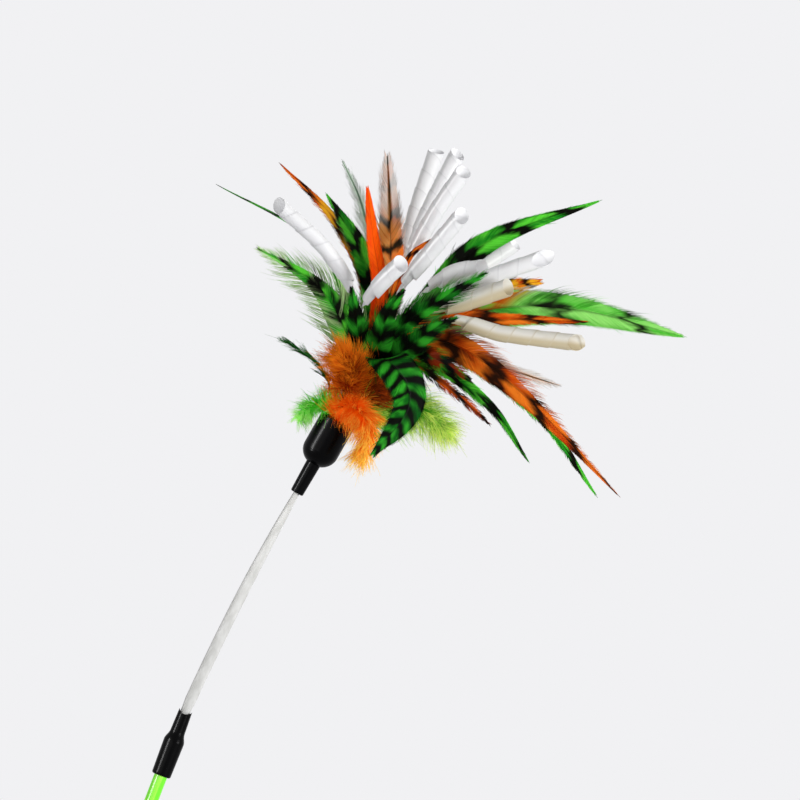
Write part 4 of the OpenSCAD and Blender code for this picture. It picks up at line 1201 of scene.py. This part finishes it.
# %% The strip in four lengths
FLEX_PLACES = [STRIP_LENGTH * (2 * i - 1) / 8 for i in (1, 2, 3, 4)]
MEETS = [-STRIP_SEAT] + [STRIP_LENGTH * i / 4 for i in (1, 2, 3)] + [STRIP_LENGTH + STRIP_SEAT]
STANDS_FOR = [("flex_link_root", "flex_link_lower"), ("flex_link_middle",), ("flex_link_upper",), ("flex_link_tip",)]
STRIP_SIDES, RING_GAP = 24, 0.8
BEND_HALF = 11.4


def strip_length_piece(i):
    s0, s1 = MEETS[i], MEETS[i + 1]
    steps = int((s1 - s0) / RING_GAP)
    bpy.ops.mesh.primitive_circle_add(vertices=STRIP_SIDES, radius=1.0, fill_type="NGON")
    piece = bpy.context.object
    piece.name = f"strip_length_{i + 1}"
    bpy.ops.object.mode_set(mode="EDIT")
    bpy.ops.mesh.select_all(action="SELECT")
    for _ in range(steps):
        bpy.ops.mesh.extrude_region_move(TRANSFORM_OT_translate={"value": (0, 0, 1.0)})
    bpy.ops.mesh.select_all(action="SELECT")
    bpy.ops.mesh.normals_make_consistent(inside=False)
    bpy.ops.object.mode_set(mode="OBJECT")
    straight = np.array([v.co for v in piece.data.vertices])
    along = s0 + (s1 - s0) * straight[:, 2] / steps
    rounded = np.sign(straight[:, :2]) * np.abs(straight[:, :2]) ** ROUNDING
    set_down = np.array([strip_point(x, y, s) for (x, y), s in zip(rounded, along)])
    piece.data.vertices.foreach_set("co", (set_down * MM).reshape(-1))
    add_field(piece.data, "along", along)
    add_field(piece.data, "across", rounded[:, 0])
    piece.data.update()
    bpy.ops.object.shade_smooth_by_angle(angle=math.radians(50))
    bpy.ops.object.select_all(action="DESELECT")
    piece.data.materials.append(strip_plastic.material)
    start, end = (strip_at(FLEX_PLACES[i] + way * BEND_HALF) * MM for way in (-1, 1))
    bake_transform(piece)
    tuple(start)
    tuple(end)
    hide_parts(*STANDS_FOR[i])
    return piece


strip = [strip_length_piece(i) for i in range(4)]
print("strip triangles:", triangles(strip))

# %% [markdown]
# ## Fittings, grip and rod
# The sleeve, the cup and the butt cap are moulded in glossy black, the grip is rubber and the rod is clear green
# acrylic. They could be modelled again, but the CAD's solids already have their shapes, so they stay and get a
# finish each. A fine grain keeps the black from looking like a mirror. Real clear acrylic needs many light
# bounces, so the rod gets a solid green, faint streaks and a weak glow in its own colour instead.

# %% Finishes of the fittings
FINE_GRAIN, LONG_STREAKS = (900.0, 900.0, 500.0), (500.0, 500.0, 25.0)
PORES, CLOUDS = 1400.0, 300.0

gloss_black = Finish("gloss_black", roughness=0.26, specular_ior_level=0.05)
grain = gloss_black.noise(gloss_black.stretched(gloss_black.place(), *FINE_GRAIN), 1.0)
gloss_black.put("Base Color", gloss_black.mix(grain, paint(2, 2, 3), paint(5, 5, 6)))
gloss_black.bump(grain, 0.06, 0.0001)

grip_rubber = Finish("grip_rubber", roughness=0.75, specular_ior_level=0.3)
pores = grip_rubber.noise(grip_rubber.place(), PORES)
grip_rubber.put("Base Color", grip_rubber.mix(pores, paint(20, 20, 21), paint(34, 34, 35)))
grip_rubber.bump(pores, 0.6, 0.0003)

clear_green = Finish("clear_green", roughness=0.25, specular_ior_level=0.25, emission_strength=0.22)
clear_green.surface.inputs["Emission Color"].default_value = paint(120, 236, 40)
streaks = clear_green.noise(clear_green.stretched(clear_green.place(), *LONG_STREAKS), 1.0)
clear_green.put("Base Color", clear_green.mix(streaks.step(0.45, 0.62), paint(168, 250, 86), paint(110, 226, 46)))

resin = Finish("resin", roughness=0.3)
resin_cloud = resin.noise(resin.place(), CLOUDS)
resin.put("Base Color", resin.mix(resin_cloud, paint(206, 198, 170), paint(180, 168, 132)))

DRESSED = {"butt_cap": gloss_black, "grip_sleeve": grip_rubber, "rod": clear_green, "reducer_sleeve": gloss_black,
           "feather_cup": gloss_black, "glue_plug": resin}
for name, finish in DRESSED.items():
    for slot in nodes[name].material_slots:
        slot.material = finish.material
print("dressed:", ", ".join(DRESSED))

# %% [markdown]
# ## Sizes
# The dressed wand's box is measured again and printed beside the CAD's, so that a feather that has grown too
# long shows at once.

# %% Print the two boxes and finish
dressed_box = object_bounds()
for title, box in (("CAD box", cad_box), ("dressed box", dressed_box)):
    print(title, [[round(v, 4) for v in corner] for corner in box])
